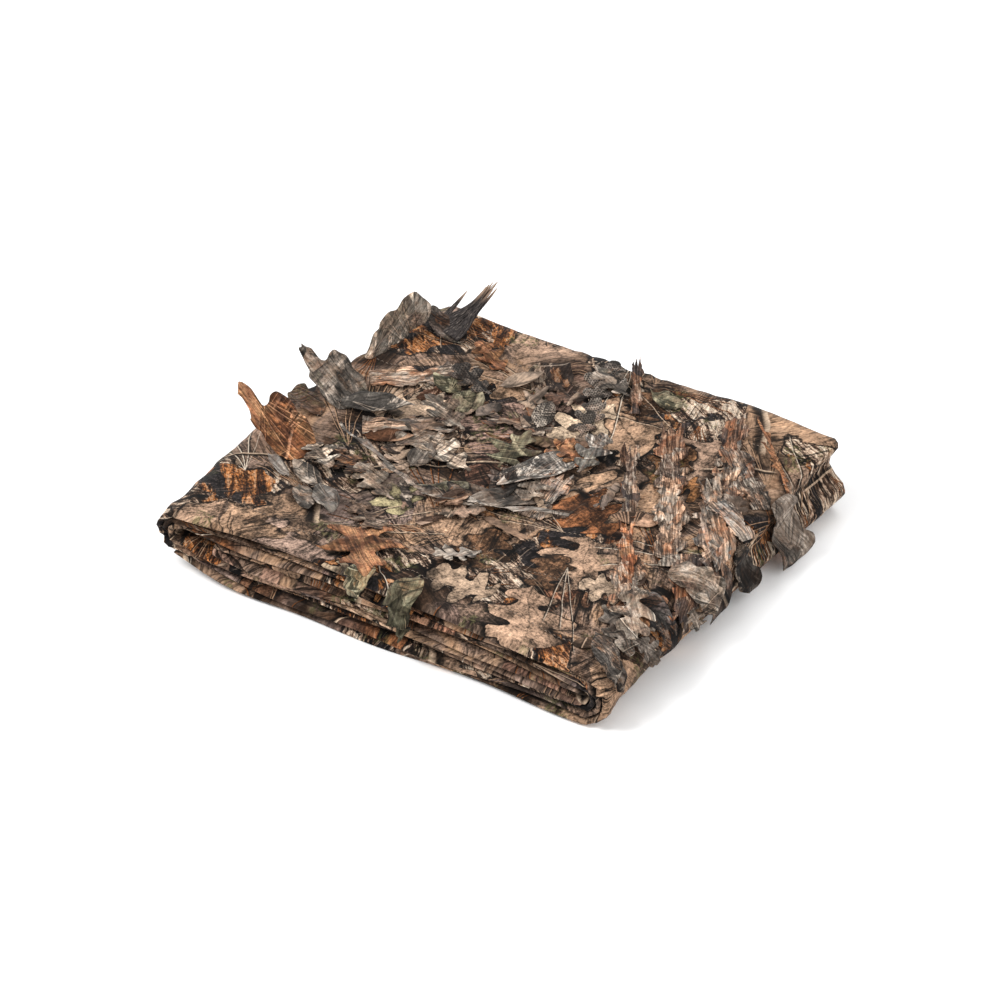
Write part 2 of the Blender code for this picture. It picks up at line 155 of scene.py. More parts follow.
class Graph:
    """Adds nodes to a tree. Its end is the node that takes the results."""

    def __init__(self, tree, end):
        self.tree = tree
        self.end = end

    def fill(self, node, inputs):
        for key, value in dict(inputs).items():
            if isinstance(value, Value):
                self.tree.links.new(value.socket, node.inputs[key])
            else:
                node.inputs[key].default_value = value

    def give(self, results):
        self.fill(self.end, results)

    def add(self, kind, inputs=(), **settings):
        node = self.tree.nodes.new(kind)
        for key, value in settings.items():
            setattr(node, key, value)
        self.fill(node, inputs)
        return Outputs(self, node)

    def group(self, tree, **inputs):
        return self.add("ShaderNodeGroup", inputs, node_tree=tree)

    def math(self, operation, *values):
        return self.add("ShaderNodeMath", enumerate(values), operation=operation)[0]

    def vector(self, operation, *values, **inputs):
        inputs = {**inputs, **dict(enumerate(values))}
        made = self.add("ShaderNodeVectorMath", inputs, operation=operation)
        return made[1 if operation == "LENGTH" else 0]

    def stretch(self, vector, share):
        """A motif pulled out along its own length, by taking only a share of it."""
        return self.vector("MULTIPLY", vector, (1.0, share, 1.0))

    def xyz(self, x, y, z=0.0):
        return self.add("ShaderNodeCombineXYZ", {0: x, 1: y, 2: z})[0]

    def split(self, vector):
        parts = self.add("ShaderNodeSeparateXYZ", {0: vector})
        return parts[0], parts[1]

    def waves(self, vector, pitch):
        return [self.math("SINE", way * (2 * math.pi / pitch)) for way in self.split(vector)]

    def step(self, value, low, high):
        """0 to 1, softly, as the value goes from low to high."""
        inputs = {"Value": value, "From Min": low, "From Max": high}
        return self.add("ShaderNodeMapRange", inputs, interpolation_type="SMOOTHSTEP")[0]

    def curve(self, value, line):
        made = self.add("ShaderNodeFloatCurve", {"Value": value})
        points = made.node.mapping.curves[0].points
        points[0].location, points[1].location = line[0], line[-1]
        for x, y in line[1:-1]:
            points.new(x, y)
        made.node.mapping.update()
        return made[0]

    def noise(self, vector, scale, detail=3.0, rough=0.5, warp=0.0, output=0, space="2D"):
        inputs = {"Vector": vector, "Scale": scale, "Detail": detail, "Roughness": rough,
                  "Distortion": warp}
        return self.add("ShaderNodeTexNoise", inputs, noise_dimensions=space)[output]

    def mix(self, share, first, second, blend="MIX"):
        inputs = {0: share, 6: first, 7: second}
        return self.add("ShaderNodeMix", inputs, data_type="RGBA", blend_type=blend)[2]

    def shade(self, colour, light):
        grey = self.add("ShaderNodeCombineColor", {0: light, 1: light, 2: light})[0]
        return self.mix(1.0, colour, grey, "MULTIPLY")

    def bright(self, colour):
        return self.add("ShaderNodeRGBToBW", {0: colour})[0]

    def ramp(self, value, stops):
        made = self.add("ShaderNodeValToRGB", {"Fac": value})
        elements = made.node.color_ramp.elements
        elements[0].position, elements[0].color = stops[0]
        elements[1].position, elements[1].color = stops[-1]
        for position, colour in stops[1:-1]:
            elements.new(position).color = colour
        return made[0]

    def turn(self, vector, angle):
        inputs = {"Vector": vector, "Angle": angle}
        return self.add("ShaderNodeVectorRotate", inputs, rotation_type="Z_AXIS")[0]

    def lay(self, points, instance, material, attribute=None, **inputs):
        """Instances on points, made real in one material, as the tree's result."""
        inputs = {key.replace("_", " "): value for key, value in inputs.items()}
        inputs.update({"Points": points, "Instance": instance})
        laid = self.add("GeometryNodeInstanceOnPoints", inputs)[0]
        if attribute:
            name, value = attribute
            stored = {"Geometry": laid, "Name": name, "Value": value}
            laid = self.add("GeometryNodeStoreNamedAttribute", stored, data_type="FLOAT",
                            domain="INSTANCE")[0]
        real = self.add("GeometryNodeRealizeInstances", {0: laid})[0]
        clad = self.add("GeometryNodeSetMaterial", {"Geometry": real, "Material": material})[0]
        self.give({0: clad})

    def named(self, name, kind):
        return self.add("GeometryNodeInputNamedAttribute", {"Name": name}, data_type=kind)[0]

    def uv(self, name):
        return self.add("ShaderNodeUVMap", uv_map=name)[0]

    def bump(self, height, strength, distance):
        inputs = {"Height": height, "Strength": strength, "Distance": distance}
        return self.add("ShaderNodeBump", inputs)[0]


SOCKET_KINDS = {
    "Vector": "Vector", "Color": "Color", "Geometry": "Geometry", "Ground": "Geometry",
    "Lines": "Geometry", "Seed": "Int", "Cloth": "Material", "Thread": "Material",
    "Stitch": "Object", "Scrap": "Object",
}


def node_tree(name, inputs, outputs, kind="ShaderNodeTree"):
    """A graph that ends in a tree's named outputs, and the values of its named inputs."""
    tree = bpy.data.node_groups.new(name, kind)
    for labels, way in ((inputs, "INPUT"), (outputs, "OUTPUT")):
        for label in labels.split():
            socket = "NodeSocket" + SOCKET_KINDS.get(label.rstrip("0123456789"), "Float")
            tree.interface.new_socket(name=label, in_out=way, socket_type=socket)
    graph = Graph(tree, tree.nodes.new("NodeGroupOutput"))
    given = Outputs(graph, tree.nodes.new("NodeGroupInput"))
    return graph, [given[label] for label in inputs.split()]


def new_material(name, **settings):
    """A material and a graph that ends in its shader."""
    material = bpy.data.materials.new(name)
    material.use_nodes = True
    graph = Graph(material.node_tree, material.node_tree.nodes["Principled BSDF"])
    graph.give({key.replace("_", " "): value for key, value in settings.items()})
    return material, graph


# The print. Its motifs are drawn in the cloth's own flat coordinates, in metres, so that
# they run on over the folds: leaf litter, oak leaves, needles, twigs and bark.
ALMOST_BLACK = (0.010, 0.008, 0.007, 1)
CHARCOAL = (0.040, 0.033, 0.032, 1)
PALE_CHARCOAL = (0.085, 0.070, 0.068, 1)
DARK_BROWN = (0.045, 0.028, 0.020, 1)
MID_BROWN = (0.130, 0.080, 0.055, 1)
GREY_BROWN = (0.235, 0.168, 0.132, 1)
MAUVE_GREY = (0.190, 0.150, 0.142, 1)
TAN = (0.39, 0.262, 0.182, 1)
PALE_TAN = (0.57, 0.440, 0.335, 1)
CREAM = (0.68, 0.590, 0.490, 1)
RUST = (0.300, 0.125, 0.062, 1)
ORANGE = (0.40, 0.210, 0.115, 1)
DEEP_RUST = (0.150, 0.062, 0.034, 1)
OLIVE = (0.150, 0.150, 0.070, 1)
GREY = (0.185, 0.170, 0.155, 1)
PALE_GREY = (0.50, 0.465, 0.42, 1)


def shares(*percents):
    """Pairs of percents as a line of points in shares."""
    return [(percents[i] / 100, percents[i + 1] / 100) for i in range(0, len(percents), 2)]


# Half a printed leaf's width along its length
PRINTED_OAK = shares(
    0, 3, 12, 5, 17, 34, 22, 40, 29, 16, 36, 26, 43, 62, 50, 60, 56, 24, 63, 34, 70, 56,
    77, 50, 82, 24, 90, 28, 96, 20, 100, 0,
)
PRINTED_BEECH = shares(
    0, 2, 8, 5, 16, 30, 32, 56, 50, 62, 68, 50, 84, 27, 94, 10, 100, 0,
)
NEEDLE_THICK = 0.00052
CHECK_PITCH = 0.0046
WEAVE_PITCH = 0.0009
HALF_GREY = (0.5, 0.5, 0.5)


def cells_of(g, place, cell, shift, warp, randomness):
    """A warped plane cut into cells: a place in its cell, and three numbers for each cell."""
    shifted = g.vector("SCALE", place, Scale=g.math("DIVIDE", 1.0, cell))
    shifted = g.vector("ADD", shifted, g.xyz(shift, shift))
    bend = g.vector("SUBTRACT", g.noise(shifted, 1.9, 2.0, output="Color"), HALF_GREY)
    shifted = g.vector("ADD", shifted, g.vector("SCALE", bend, Scale=warp))
    inputs = {"Vector": shifted, "Scale": 1.0, "Randomness": randomness}
    cells = g.add("ShaderNodeTexVoronoi", inputs, voronoi_dimensions="2D")
    chance = g.add("ShaderNodeSeparateColor", {0: cells["Color"]})
    return shifted, g.vector("SUBTRACT", shifted, cells["Position"]), chance


def leaf_group(name, outline, veins):
    """Leaves strewn one to a cell, each turned, bent and toned by its own random number."""
    g, (place, cell, shift, fill) = node_tree(
        name, "Vector Cell Shift Fill", "Leaf Shadow Vein Light Tone")
    shifted, local, chance = cells_of(g, place, cell, shift, 0.24, 0.75)
    across, along = g.split(g.turn(local, chance[0] * (2 * math.pi)))
    size = chance[1] * 0.35 + 0.85
    along = along / size + 0.5
    bow = (chance[2] - 0.5) * 0.9
    across = across / size + bow * g.math("POWER", along - 0.5, 2.0)
    off_rib = abs(across)
    width = g.curve(g.math("SIGN", across) * 0.025 + along, outline)
    inside = width * 0.60 - off_rib + (g.noise(shifted, 14.0, 3.0, 0.6) * 0.07 - 0.035)
    kept = g.math("LESS_THAN", chance[2], fill)
    ends = g.step(along, 0.0, 0.02) * g.step(along, 1.0, 0.98)
    slant = g.math("FRACT", off_rib * (-veins * 0.75) + along * veins)
    branch = g.step(abs(slant - 0.5), 0.07, 0.015)
    folded = g.step(across, -0.05, 0.05) * (chance[1] * 0.8 - 0.4) + 1.0
    lit = folded * (g.step(inside, 0.0, 0.06) * 0.30 + 0.72)
    cloud = g.noise(shifted, 3.2, 3.0, 0.55)
    lit = lit * (g.step(cloud, 0.30, 0.70) * 0.75 + 0.62)
    rim = g.step(abs(inside - 0.012), 0.014, 0.002) * g.step(across, 0.0, 0.1)
    g.give({
        "Leaf": g.step(inside, -0.003, 0.005) * (ends * kept),
        "Shadow": g.step(inside, -0.11, 0.01) * kept,
        "Vein": g.math("MAXIMUM", g.step(off_rib, 0.011, 0.003), branch * 0.5),
        "Light": rim * 0.35 + lit,
        "Tone": chance[0],
    })
    return g.tree


def needle_group():
    """Sprays of a few long straight needles, one spray to a cell."""
    g, (place, cell, shift, needles, fill) = node_tree(
        "printed needles", "Vector Cell Shift Needles Fill", "Needle Shadow Tone")
    _, local, chance = cells_of(g, place, cell, shift, 0.05, 0.9)
    across, along = g.split(g.turn(local, chance[1] * (2 * math.pi)))
    along = along + 0.46
    angle = g.math("ARCTAN2", across, along)
    count = angle * needles
    number = g.math("MULTIPLY_ADD", chance[0], 57.0, g.math("FLOOR", count))
    wild = g.add("ShaderNodeTexWhiteNoise", {"W": number}, noise_dimensions="1D")[0]
    off = (g.math("FRACT", count) - (wild * 0.6 + 0.2)) * along / needles
    spread = g.math("LESS_THAN", abs(angle), chance[0] * 0.40 + 0.10)
    kept = g.math("LESS_THAN", chance[2], fill) * g.math("GREATER_THAN", wild, 0.25)
    ends = spread * kept * g.step(wild * 0.45 + 0.45 - along, 0.0, 0.05)
    width = NEEDLE_THICK / cell
    core = width * 0.45
    under = abs(off - width * 1.5)
    g.give({
        "Needle": g.step(abs(off), width, core) * ends,
        "Shadow": g.step(under, width * 2.6, core) * ends,
        "Tone": wild,
    })
    return g.tree


def twig_group():
    """Long crooked twigs, all roughly one way, broken off at random."""
    g, (place, angle, apart, thick, shift) = node_tree(
        "printed twigs", "Vector Angle Apart Thick Shift", "Twig Light Shadow")
    across, along = g.split(g.turn(place, angle))
    bends = g.noise(g.xyz(across * 0.4, along, shift), 5.0, 2.5, 0.45, space="3D")
    lane = across / apart + bends * 0.50 + shift
    off = (g.math("FRACT", lane) - 0.5) * apart
    number = g.xyz(g.math("FLOOR", lane) * 3.7, along * 6.0, shift)
    kept = g.step(g.noise(number, 1.0, 0.0, space="3D"), 0.52, 0.55)
    edge = off / (thick * (bends * 1.6 + 0.2))
    g.give({
        "Twig": g.step(abs(edge), 1.0, 0.75) * kept,
        "Light": g.step(edge, 1.0, -0.7),
        "Shadow": g.step(abs(edge - 0.9), 2.1, 0.5) * kept,
    })
    return g.tree


def bark_group():
    """Crumbled bark: pale and rust plates with a rough grain, over smooth charcoal wood."""
    g, (place, angle, turn, cell, fineness) = node_tree(
        "printed bark", "Vector Angle Turn Cell Grain", "Color Crack")
    chance = cells_of(g, place, cell, 7.3, 0.55, 1.0)[2]
    turned = g.turn(place, chance[0] * turn + angle)
    grain = g.stretch(turned, 0.15)
    crumbs = g.noise(place, 420.0, 3.0, 0.7)
    lumps = g.noise(place, 38.0, 3.0, 0.6)
    rough = g.noise(grain, fineness, 6.0, 0.72, 0.4)
    rough = rough + (crumbs * 0.30 - 0.15) + (lumps * 0.30 - 0.15)
    pale_bark = g.ramp(rough, [
        (0.30, ALMOST_BLACK), (0.37, DARK_BROWN), (0.44, MID_BROWN), (0.50, GREY_BROWN),
        (0.57, PALE_TAN), (0.63, CREAM), (0.69, GREY_BROWN), (0.78, PALE_TAN),
    ])
    rust_bark = g.ramp(rough, [
        (0.30, ALMOST_BLACK), (0.38, DEEP_RUST), (0.45, MID_BROWN), (0.51, RUST),
        (0.57, ORANGE), (0.63, TAN), (0.70, RUST), (0.78, PALE_TAN),
    ])
    colour = g.mix(g.step(chance[1], 0.60, 0.70), pale_bark, rust_bark)
    layers = g.noise(g.stretch(turned, 0.30), 30.0, 5.0, 0.62)
    bare = g.step(layers, 0.562, 0.570)
    lip = g.step(abs(layers - 0.556), 0.010, 0.002)
    wood = g.mix(g.step(crumbs, 0.35, 0.65), CHARCOAL, PALE_CHARCOAL)
    colour = g.mix(lip * 0.75, g.mix(bare, colour, wood), ALMOST_BLACK)
    flakes = g.add("ShaderNodeTexVoronoi", {"Vector": grain, "Scale": fineness * 0.55},
                   voronoi_dimensions="2D", feature="DISTANCE_TO_EDGE")[0]
    flaked = g.step(flakes, 0.06, 0.01) * g.step(crumbs, 0.40, 0.55)
    crack = g.math("MAXIMUM", flaked, lip)
    colour = g.mix(crack * 0.70, colour, ALMOST_BLACK)
    g.give({"Color": colour, "Crack": g.math("MAXIMUM", crack, bare)})
    return g.tree


def fibre_group():
    """Fine fibres and scratches. They run another way in each patch."""
    g, (place,) = node_tree("printed fibres", "Vector", "Light Scratch Crack")
    chance = cells_of(g, place, 0.040, 53.0, 0.7, 1.0)[2]
    turned = g.turn(place, chance[0] * math.pi)
    fine = g.noise(g.stretch(turned, 0.055), 560.0, 3.0, 0.62, 0.5)
    broad = g.noise(g.stretch(turned, 0.11), 170.0, 3.0, 0.62, 1.0)
    strength = chance[1] * 0.9 + 0.25
    streaks = g.step(fine, 0.34, 0.66) * 0.8 + g.step(broad, 0.34, 0.66)
    g.give({
        "Light": (streaks - 0.9) * strength + 1.0,
        "Scratch": g.step(fine, 0.64, 0.70) * strength,
        "Crack": g.step(broad, 0.36, 0.31) * strength,
    })
    return g.tree


def weave_group():
    """A plain weave too fine to show from far off, which still breaks up the light."""
    g, (place,) = node_tree("plain weave", "Vector", "Height")
    across, along = g.waves(place, WEAVE_PITCH)
    g.give({"Height": across * along * 0.5 + 0.5})
    return g.tree


oak_print = leaf_group("printed oak leaves", PRINTED_OAK, 7.0)
beech_print = leaf_group("printed beech leaves", PRINTED_BEECH, 11.0)
needle_print = needle_group()
twig_print = twig_group()
bark_print = bark_group()
fibre_print = fibre_group()
weave = weave_group()

# One row for each strewing, from the ground up. Leaves: the group, the cell's size in
# metres, a shift, the share of the cells that hold one, how solid they look, how dark the
# ground is round them, how far they fade where the print is calm and the tones that they
# run through. Needles and twigs: their cell or spacing, a shift and their tone. The bark
# lies over the leaves of one size of cell.
LeafRow = namedtuple("LeafRow", "leaves cell shift fill solid shade fades tones")
NeedleRow = namedtuple("NeedleRow", "cell shift count fill tone")
TwigRow = namedtuple("TwigRow", "angle apart thick shift")
BARK_AFTER = 0.150
STREWINGS = (
    LeafRow(beech_print, 0.110, 3.1, 0.80, 0.75, 0.35, 0.2, (GREY_BROWN, TAN, MAUVE_GREY, RUST)),
    LeafRow(oak_print, 0.150, 11.7, 0.60, 0.85, 0.50, 0.3, (TAN, MAUVE_GREY, ORANGE, RUST)),
    NeedleRow(0.090, 2.0, 12.0, 0.65, RUST),
    LeafRow(oak_print, 0.085, 23.3, 0.42, 0.95, 0.90, 0.9, (TAN, GREY_BROWN, RUST, PALE_TAN)),
    NeedleRow(0.120, 9.0, 9.0, 0.60, DARK_BROWN),
    LeafRow(oak_print, 0.058, 41.9, 0.26, 0.95, 0.95, 1.0, (OLIVE, PALE_TAN, MID_BROWN, ORANGE)),
    TwigRow(0.9, 0.170, 0.0030, 5.0),
    NeedleRow(0.075, 15.0, 11.0, 0.60, TAN),
    NeedleRow(0.110, 27.0, 6.0, 0.55, PALE_TAN),
    NeedleRow(0.130, 35.0, 5.0, 0.50, CREAM),
    TwigRow(-0.5, 0.290, 0.0014, 17.0),
)


def strew_leaves(g, place, colour, row, mottle, calm):
    leaves = g.group(row.leaves, Vector=place, Cell=row.cell, Shift=row.shift, Fill=row.fill)
    tones = [(i / (len(row.tones) - 1), tone) for i, tone in enumerate(row.tones)]
    lit = leaves["Light"] * mottle * (leaves["Vein"] * -0.36 + 1.0)
    tone = g.shade(g.ramp(leaves["Tone"], tones), lit)
    share = 1.0 - calm * row.fades
    colour = g.mix(leaves["Shadow"] * row.shade * share, colour, ALMOST_BLACK)
    return g.mix(leaves["Leaf"] * row.solid * share, colour, tone)


def strew_needles(g, place, colour, row):
    spray = g.group(needle_print, Vector=place, Cell=row.cell, Shift=row.shift,
                    Needles=row.count, Fill=row.fill)
    tone = g.mix(spray["Tone"] * 0.7 + 0.3, MID_BROWN, row.tone)
    colour = g.mix(spray["Shadow"] * 0.60, colour, ALMOST_BLACK)
    return g.mix(spray["Needle"] * 0.9, colour, tone)


def strew_twigs(g, place, colour, row, mottle):
    twigs = g.group(twig_print, Vector=place, Angle=row.angle, Apart=row.apart,
                    Thick=row.thick, Shift=row.shift)
    bark = g.shade(g.mix(twigs["Light"], DARK_BROWN, PALE_TAN), mottle)
    colour = g.mix(twigs["Shadow"] * 0.75, colour, ALMOST_BLACK)
    return g.mix(twigs["Twig"], colour, bark)


def camo_group():
    """The whole print, with the height that its motifs seem to have for a faint relief."""
    g, (place,) = node_tree("camouflage print", "Vector", "Color Detail")
    bark = g.group(bark_print, Vector=place, Angle=0.3, Turn=0.9, Cell=0.060, Grain=150.0)
    fibres = g.group(fibre_print, Vector=place)
    colour = g.ramp(g.noise(place, 17.0, 4.0, 0.6, 0.5), [
        (0.30, DARK_BROWN), (0.40, MID_BROWN), (0.50, GREY_BROWN), (0.60, TAN),
        (0.72, DEEP_RUST),
    ])
    calm = g.step(g.noise(place, 6.5, 1.0), 0.50, 0.60)
    rough = calm * -0.45 + 0.85
    mottle = (g.step(g.noise(place, 90.0, 5.0, 0.66), 0.30, 0.70) - 0.5) * rough + 1.0
    wild = calm * -0.08 + g.noise(place, 8.5, 2.0)
    torn = g.noise(place, 60.0, 4.0, 0.65) * 0.10 + wild
    rim = g.step(abs(torn - 0.572), 0.016, 0.002)
    for row in STREWINGS:
        if isinstance(row, NeedleRow):
            colour = strew_needles(g, place, colour, row)
        elif isinstance(row, TwigRow):
            colour = strew_twigs(g, place, colour, row, mottle)
        else:
            colour = strew_leaves(g, place, colour, row, mottle, calm)
            if row.cell == BARK_AFTER:
                colour = g.mix(rim * 0.8, colour, ALMOST_BLACK)
                colour = g.mix(g.step(torn, 0.578, 0.584), colour, bark["Color"])
                colour = g.mix(0.75, colour, g.shade(colour, fibres["Light"]))
    lichen = g.step(g.noise(place, 21.0, 2.0), 0.64, 0.70)
    lichen = lichen * g.step(g.noise(place, 240.0, 2.0), 0.45, 0.55)
    colour = g.mix(lichen * 0.5, colour, OLIVE)
    across, along = g.waves(place, CHECK_PITCH)
    grit = g.noise(place, 430.0, 4.0, 0.75)
    speck = (g.step(grit, 0.28, 0.72) - 0.5) * (rough * 1.1)
    colour = g.shade(colour, (speck + 1.0) * ((across + along) * 0.045 + 1.0))
    lines = calm * -0.6 + 1.0
    colour = g.mix(fibres["Crack"] * 0.75 * lines, colour, ALMOST_BLACK)
    colour = g.mix(fibres["Scratch"] * 0.35 * lines, colour, PALE_TAN)
    colour = g.shade(colour, g.step(g.bright(colour), 0.0, 0.26) * 0.71 + 0.14)
    colour = g.add("ShaderNodeHueSaturation", {"Color": colour, "Saturation": 1.17})[0]
    g.give({"Color": colour, "Detail": grit})
    return g.tree


camo_print = camo_group()

# The pale floor that the bundle lies on
floor_mesh = bpy.data.meshes.new("floor")
floor_corners = [(x, y, -FLOOR_DROP) for x, y in (
    (-FLOOR_HALF, -FLOOR_HALF), (FLOOR_HALF, -FLOOR_HALF),
    (FLOOR_HALF, FLOOR_HALF), (-FLOOR_HALF, FLOOR_HALF),
)]
floor_mesh.from_pydata(floor_corners, [], [(0, 1, 2, 3)])
floor_paint, _ = new_material("pale_floor", Base_Color=FLOOR_COLOUR, Roughness=0.9)
floor_mesh.materials.append(floor_paint)
floor = new_object("floor", floor_mesh)


# The cloth: one length of thin printed polyester, 1.42 m by 3.66 m. It is folded in half
# twice across its width, and the four plies are wound flat together into nine layers.
CLOTH_WIDTH = 1.424
CLOTH_THICK = 0.00035
DEPTH = CLOTH_WIDTH / 4
FRONT, BACK = -DEPTH / 2, DEPTH / 2
WIDTH = 0.406
LAYERS = 9
PITCH = 0.0054
BAND = 0.0050
PLY = BAND / 4

# Each turn joins two layers. side is -1 at the left end and 1 at the right, inset is how far
# the turn stays back from that end and reach is how far it bulges.
Turn = namedtuple("Turn", "side lower upper inset reach")
TURNS = (
    Turn(-1, 4, 5, 0.0520, 0.0060),
    Turn(1, 3, 5, 0.0170, 0.0078),
    Turn(-1, 3, 6, 0.0108, 0.0152),
    Turn(1, 2, 6, 0.0112, 0.0132),
    Turn(-1, 2, 7, 0.0054, 0.0206),
    Turn(1, 1, 7, 0.0056, 0.0186),
    Turn(-1, 1, 8, 0.0000, 0.0260),
    Turn(1, 0, 8, 0.0000, 0.0240),
)
INNER_END_INSET = 0.030
OUTER_END_INSET = 0.014
TOP = (LAYERS - 1) * PITCH + BAND
NOSE_X = WIDTH / 2 - TURNS[-1].reach

# How the bundle has settled. A swell lifts the layers above the one that it names.
Swell = namedtuple("Swell", "x y reach_x reach_y above rise")
SWELLS = (
    Swell(-0.205, -0.180, 0.050, 0.070, 0, -0.0110),
    Swell(-0.130, -0.180, 0.050, 0.060, 8, 0.0050),
    Swell(-0.060, -0.170, 0.080, 0.070, 6, 0.0045),
    Swell(0.010, -0.170, 0.095, 0.080, 2, 0.0030),
    Swell(0.205, -0.180, 0.070, 0.080, 0, -0.0035),
    Swell(0.150, 0.165, 0.120, 0.090, 0, 0.0085),
    Swell(-0.165, 0.000, 0.080, 0.150, 0, 0.0060),
    Swell(-0.040, 0.170, 0.110, 0.060, 0, 0.0045),
    Swell(0.040, 0.030, 0.080, 0.070, 0, -0.0020),
    Swell(0.120, -0.060, 0.060, 0.090, 8, 0.0025),
)
CORNER_LIFT = 0.0105
CORNER_LIFT_REACH = (0.050, 0.110)
FRONT_BULGE = 0.006
LEFT_BULGE = 0.014
RIGHT_LEAN = 0.014
RIGHT_HOLLOW = 0.005
FRONT_RIGHT_SET_BACK = 0.006
UPPER_SET_BACK = 0.004
UPPER_SHIFT_BACK = 0.008
WAIST = 0.020
WAIST_HEIGHT = 0.61
WAIST_SPREAD = 0.20
EDGE_WANDER = 0.0020
SetBack = namedtuple("SetBack", "layer depth")
SET_BACKS = (SetBack(7, 0.004), SetBack(5, 0.006), SetBack(2, 0.005))


def smooth(low, high, value):
    t = np.clip((np.asarray(value, float) - low) / (high - low), 0.0, 1.0)
    return t * t * (3 - 2 * t)


def bell(distance, reach):
    return np.exp(-((distance / reach) ** 2))


def settle(x, y, z):
    """Places in the flat, square winding, moved to where they lie in the real bundle."""
    x, y, z = np.broadcast_arrays(*(np.asarray(v, float) for v in (x, y, z)))
    level = z / PITCH
    share = level / LAYERS
    along = x / WIDTH + 0.5
    back = y / DEPTH + 0.5
    height = z.copy()
    for s in SWELLS:
        lifted = share if s.above == 0 else smooth(s.above - 0.16, s.above - 0.02, level)
        height += s.rise * lifted * bell(x - s.x, s.reach_x) * bell(y - s.y, s.reach_y)
    lift_x, lift_y = CORNER_LIFT_REACH
    height += CORNER_LIFT * bell(x + WIDTH / 2, lift_x) * bell(y + DEPTH / 2, lift_y)
    at_right, at_back = smooth(0.45, 1.0, along), smooth(0.35, 1.0, back)
    upper = smooth(0.40, 0.75, share)
    at_waist = bell(share - WAIST_HEIGHT, WAIST_SPREAD)
    moved_x = x - LEFT_BULGE * smooth(0.5, 0.0, along) * bell(back - 0.54, 0.36)
    moved_x -= RIGHT_LEAN * along * smooth(-0.2, 0.5, back)
    moved_x -= RIGHT_HOLLOW * smooth(0.7, 1.0, along) * bell(back - 0.15, 0.16)
    moved_x -= UPPER_SET_BACK * upper * at_right * at_back
    moved_x -= WAIST * at_waist * smooth(0.8, 1.0, along) * at_back
    moved_y = y - FRONT_BULGE * bell(along - 0.12, 0.25) * (1 - back)
    moved_y += UPPER_SHIFT_BACK * upper * at_right * at_back
    wander = np.sin(5.1 * level + 9 * along) + 0.7 * np.sin(2.3 * level - 17 * along)
    moved_y += EDGE_WANDER * wander * np.abs(2 * back - 1) ** 3
    moved_y += FRONT_RIGHT_SET_BACK * smooth(0.5, 1.0, along) * (1 - back) ** 2
    between_ends = smooth(0.04, 0.20, along) * smooth(0.95, 0.75, along)
    for row in SET_BACKS:
        set_back = row.depth * bell(level - row.layer - 0.4, 0.45)
        moved_y += set_back * between_ends * (1 - back) ** 3
    return np.stack([moved_x, moved_y, height], axis=-1)


# Soft creases and ripples of the outermost ply. heading is the way a crease runs
Crease = namedtuple("Crease", "x y heading length width height")
CREASES = (
    Crease(0.060, -0.120, 20, 0.070, 0.012, 0.0016),
    Crease(0.110, -0.090, 75, 0.060, 0.010, 0.0014),
    Crease(0.020, -0.060, 48, 0.080, 0.014, 0.0018),
    Crease(-0.130, -0.110, -20, 0.060, 0.012, 0.0016),
    Crease(-0.080, -0.140, 10, 0.070, 0.010, 0.0014),
    Crease(-0.150, 0.060, 70, 0.080, 0.014, 0.0020),
    Crease(0.130, 0.120, 12, 0.080, 0.012, 0.0018),
    Crease(0.195, 0.020, 85, 0.070, 0.010, 0.0020),
    Crease(0.215, -0.090, 60, 0.050, 0.009, 0.0018),
    Crease(0.000, 0.140, -15, 0.080, 0.013, 0.0018),
)
RIPPLE_COUNT = 14
RIPPLE_SIZE = 0.00022
RIPPLE_LENGTHS = (0.014, 0.050)
ripple_random = np.random.default_rng(11)
ripples = [
    (2 * math.pi / wavelength * math.cos(angle), 2 * math.pi / wavelength * math.sin(angle), phase)
    for wavelength, angle, phase in zip(
        ripple_random.uniform(*RIPPLE_LENGTHS, RIPPLE_COUNT),
        ripple_random.uniform(0, math.pi, RIPPLE_COUNT),
        ripple_random.uniform(0, 2 * math.pi, RIPPLE_COUNT),
    )
]


def pointing(heading):
    return math.cos(math.radians(heading)), math.sin(math.radians(heading))


def ruck(x, y):
    """How far the outermost ply stands off the others. x runs on round the turns."""
    height = np.full(np.shape(x), RIPPLE_SIZE * 4)
    for wave_x, wave_y, phase in ripples:
        height = height + RIPPLE_SIZE * np.sin(wave_x * x + wave_y * y + phase)
    for c in CREASES:
        cos, sin = pointing(c.heading)
        along = (x - c.x) * cos + (y - c.y) * sin
        across = (y - c.y) * cos - (x - c.x) * sin
        height = height + c.height * bell(along, c.length) * bell(across, c.width)
    return np.maximum(height, 0)


OUTER_STEP, INNER_STEP = 0.0055, 0.0150
OUTER_TURN_STEPS, INNER_TURN_STEPS = 16, 8


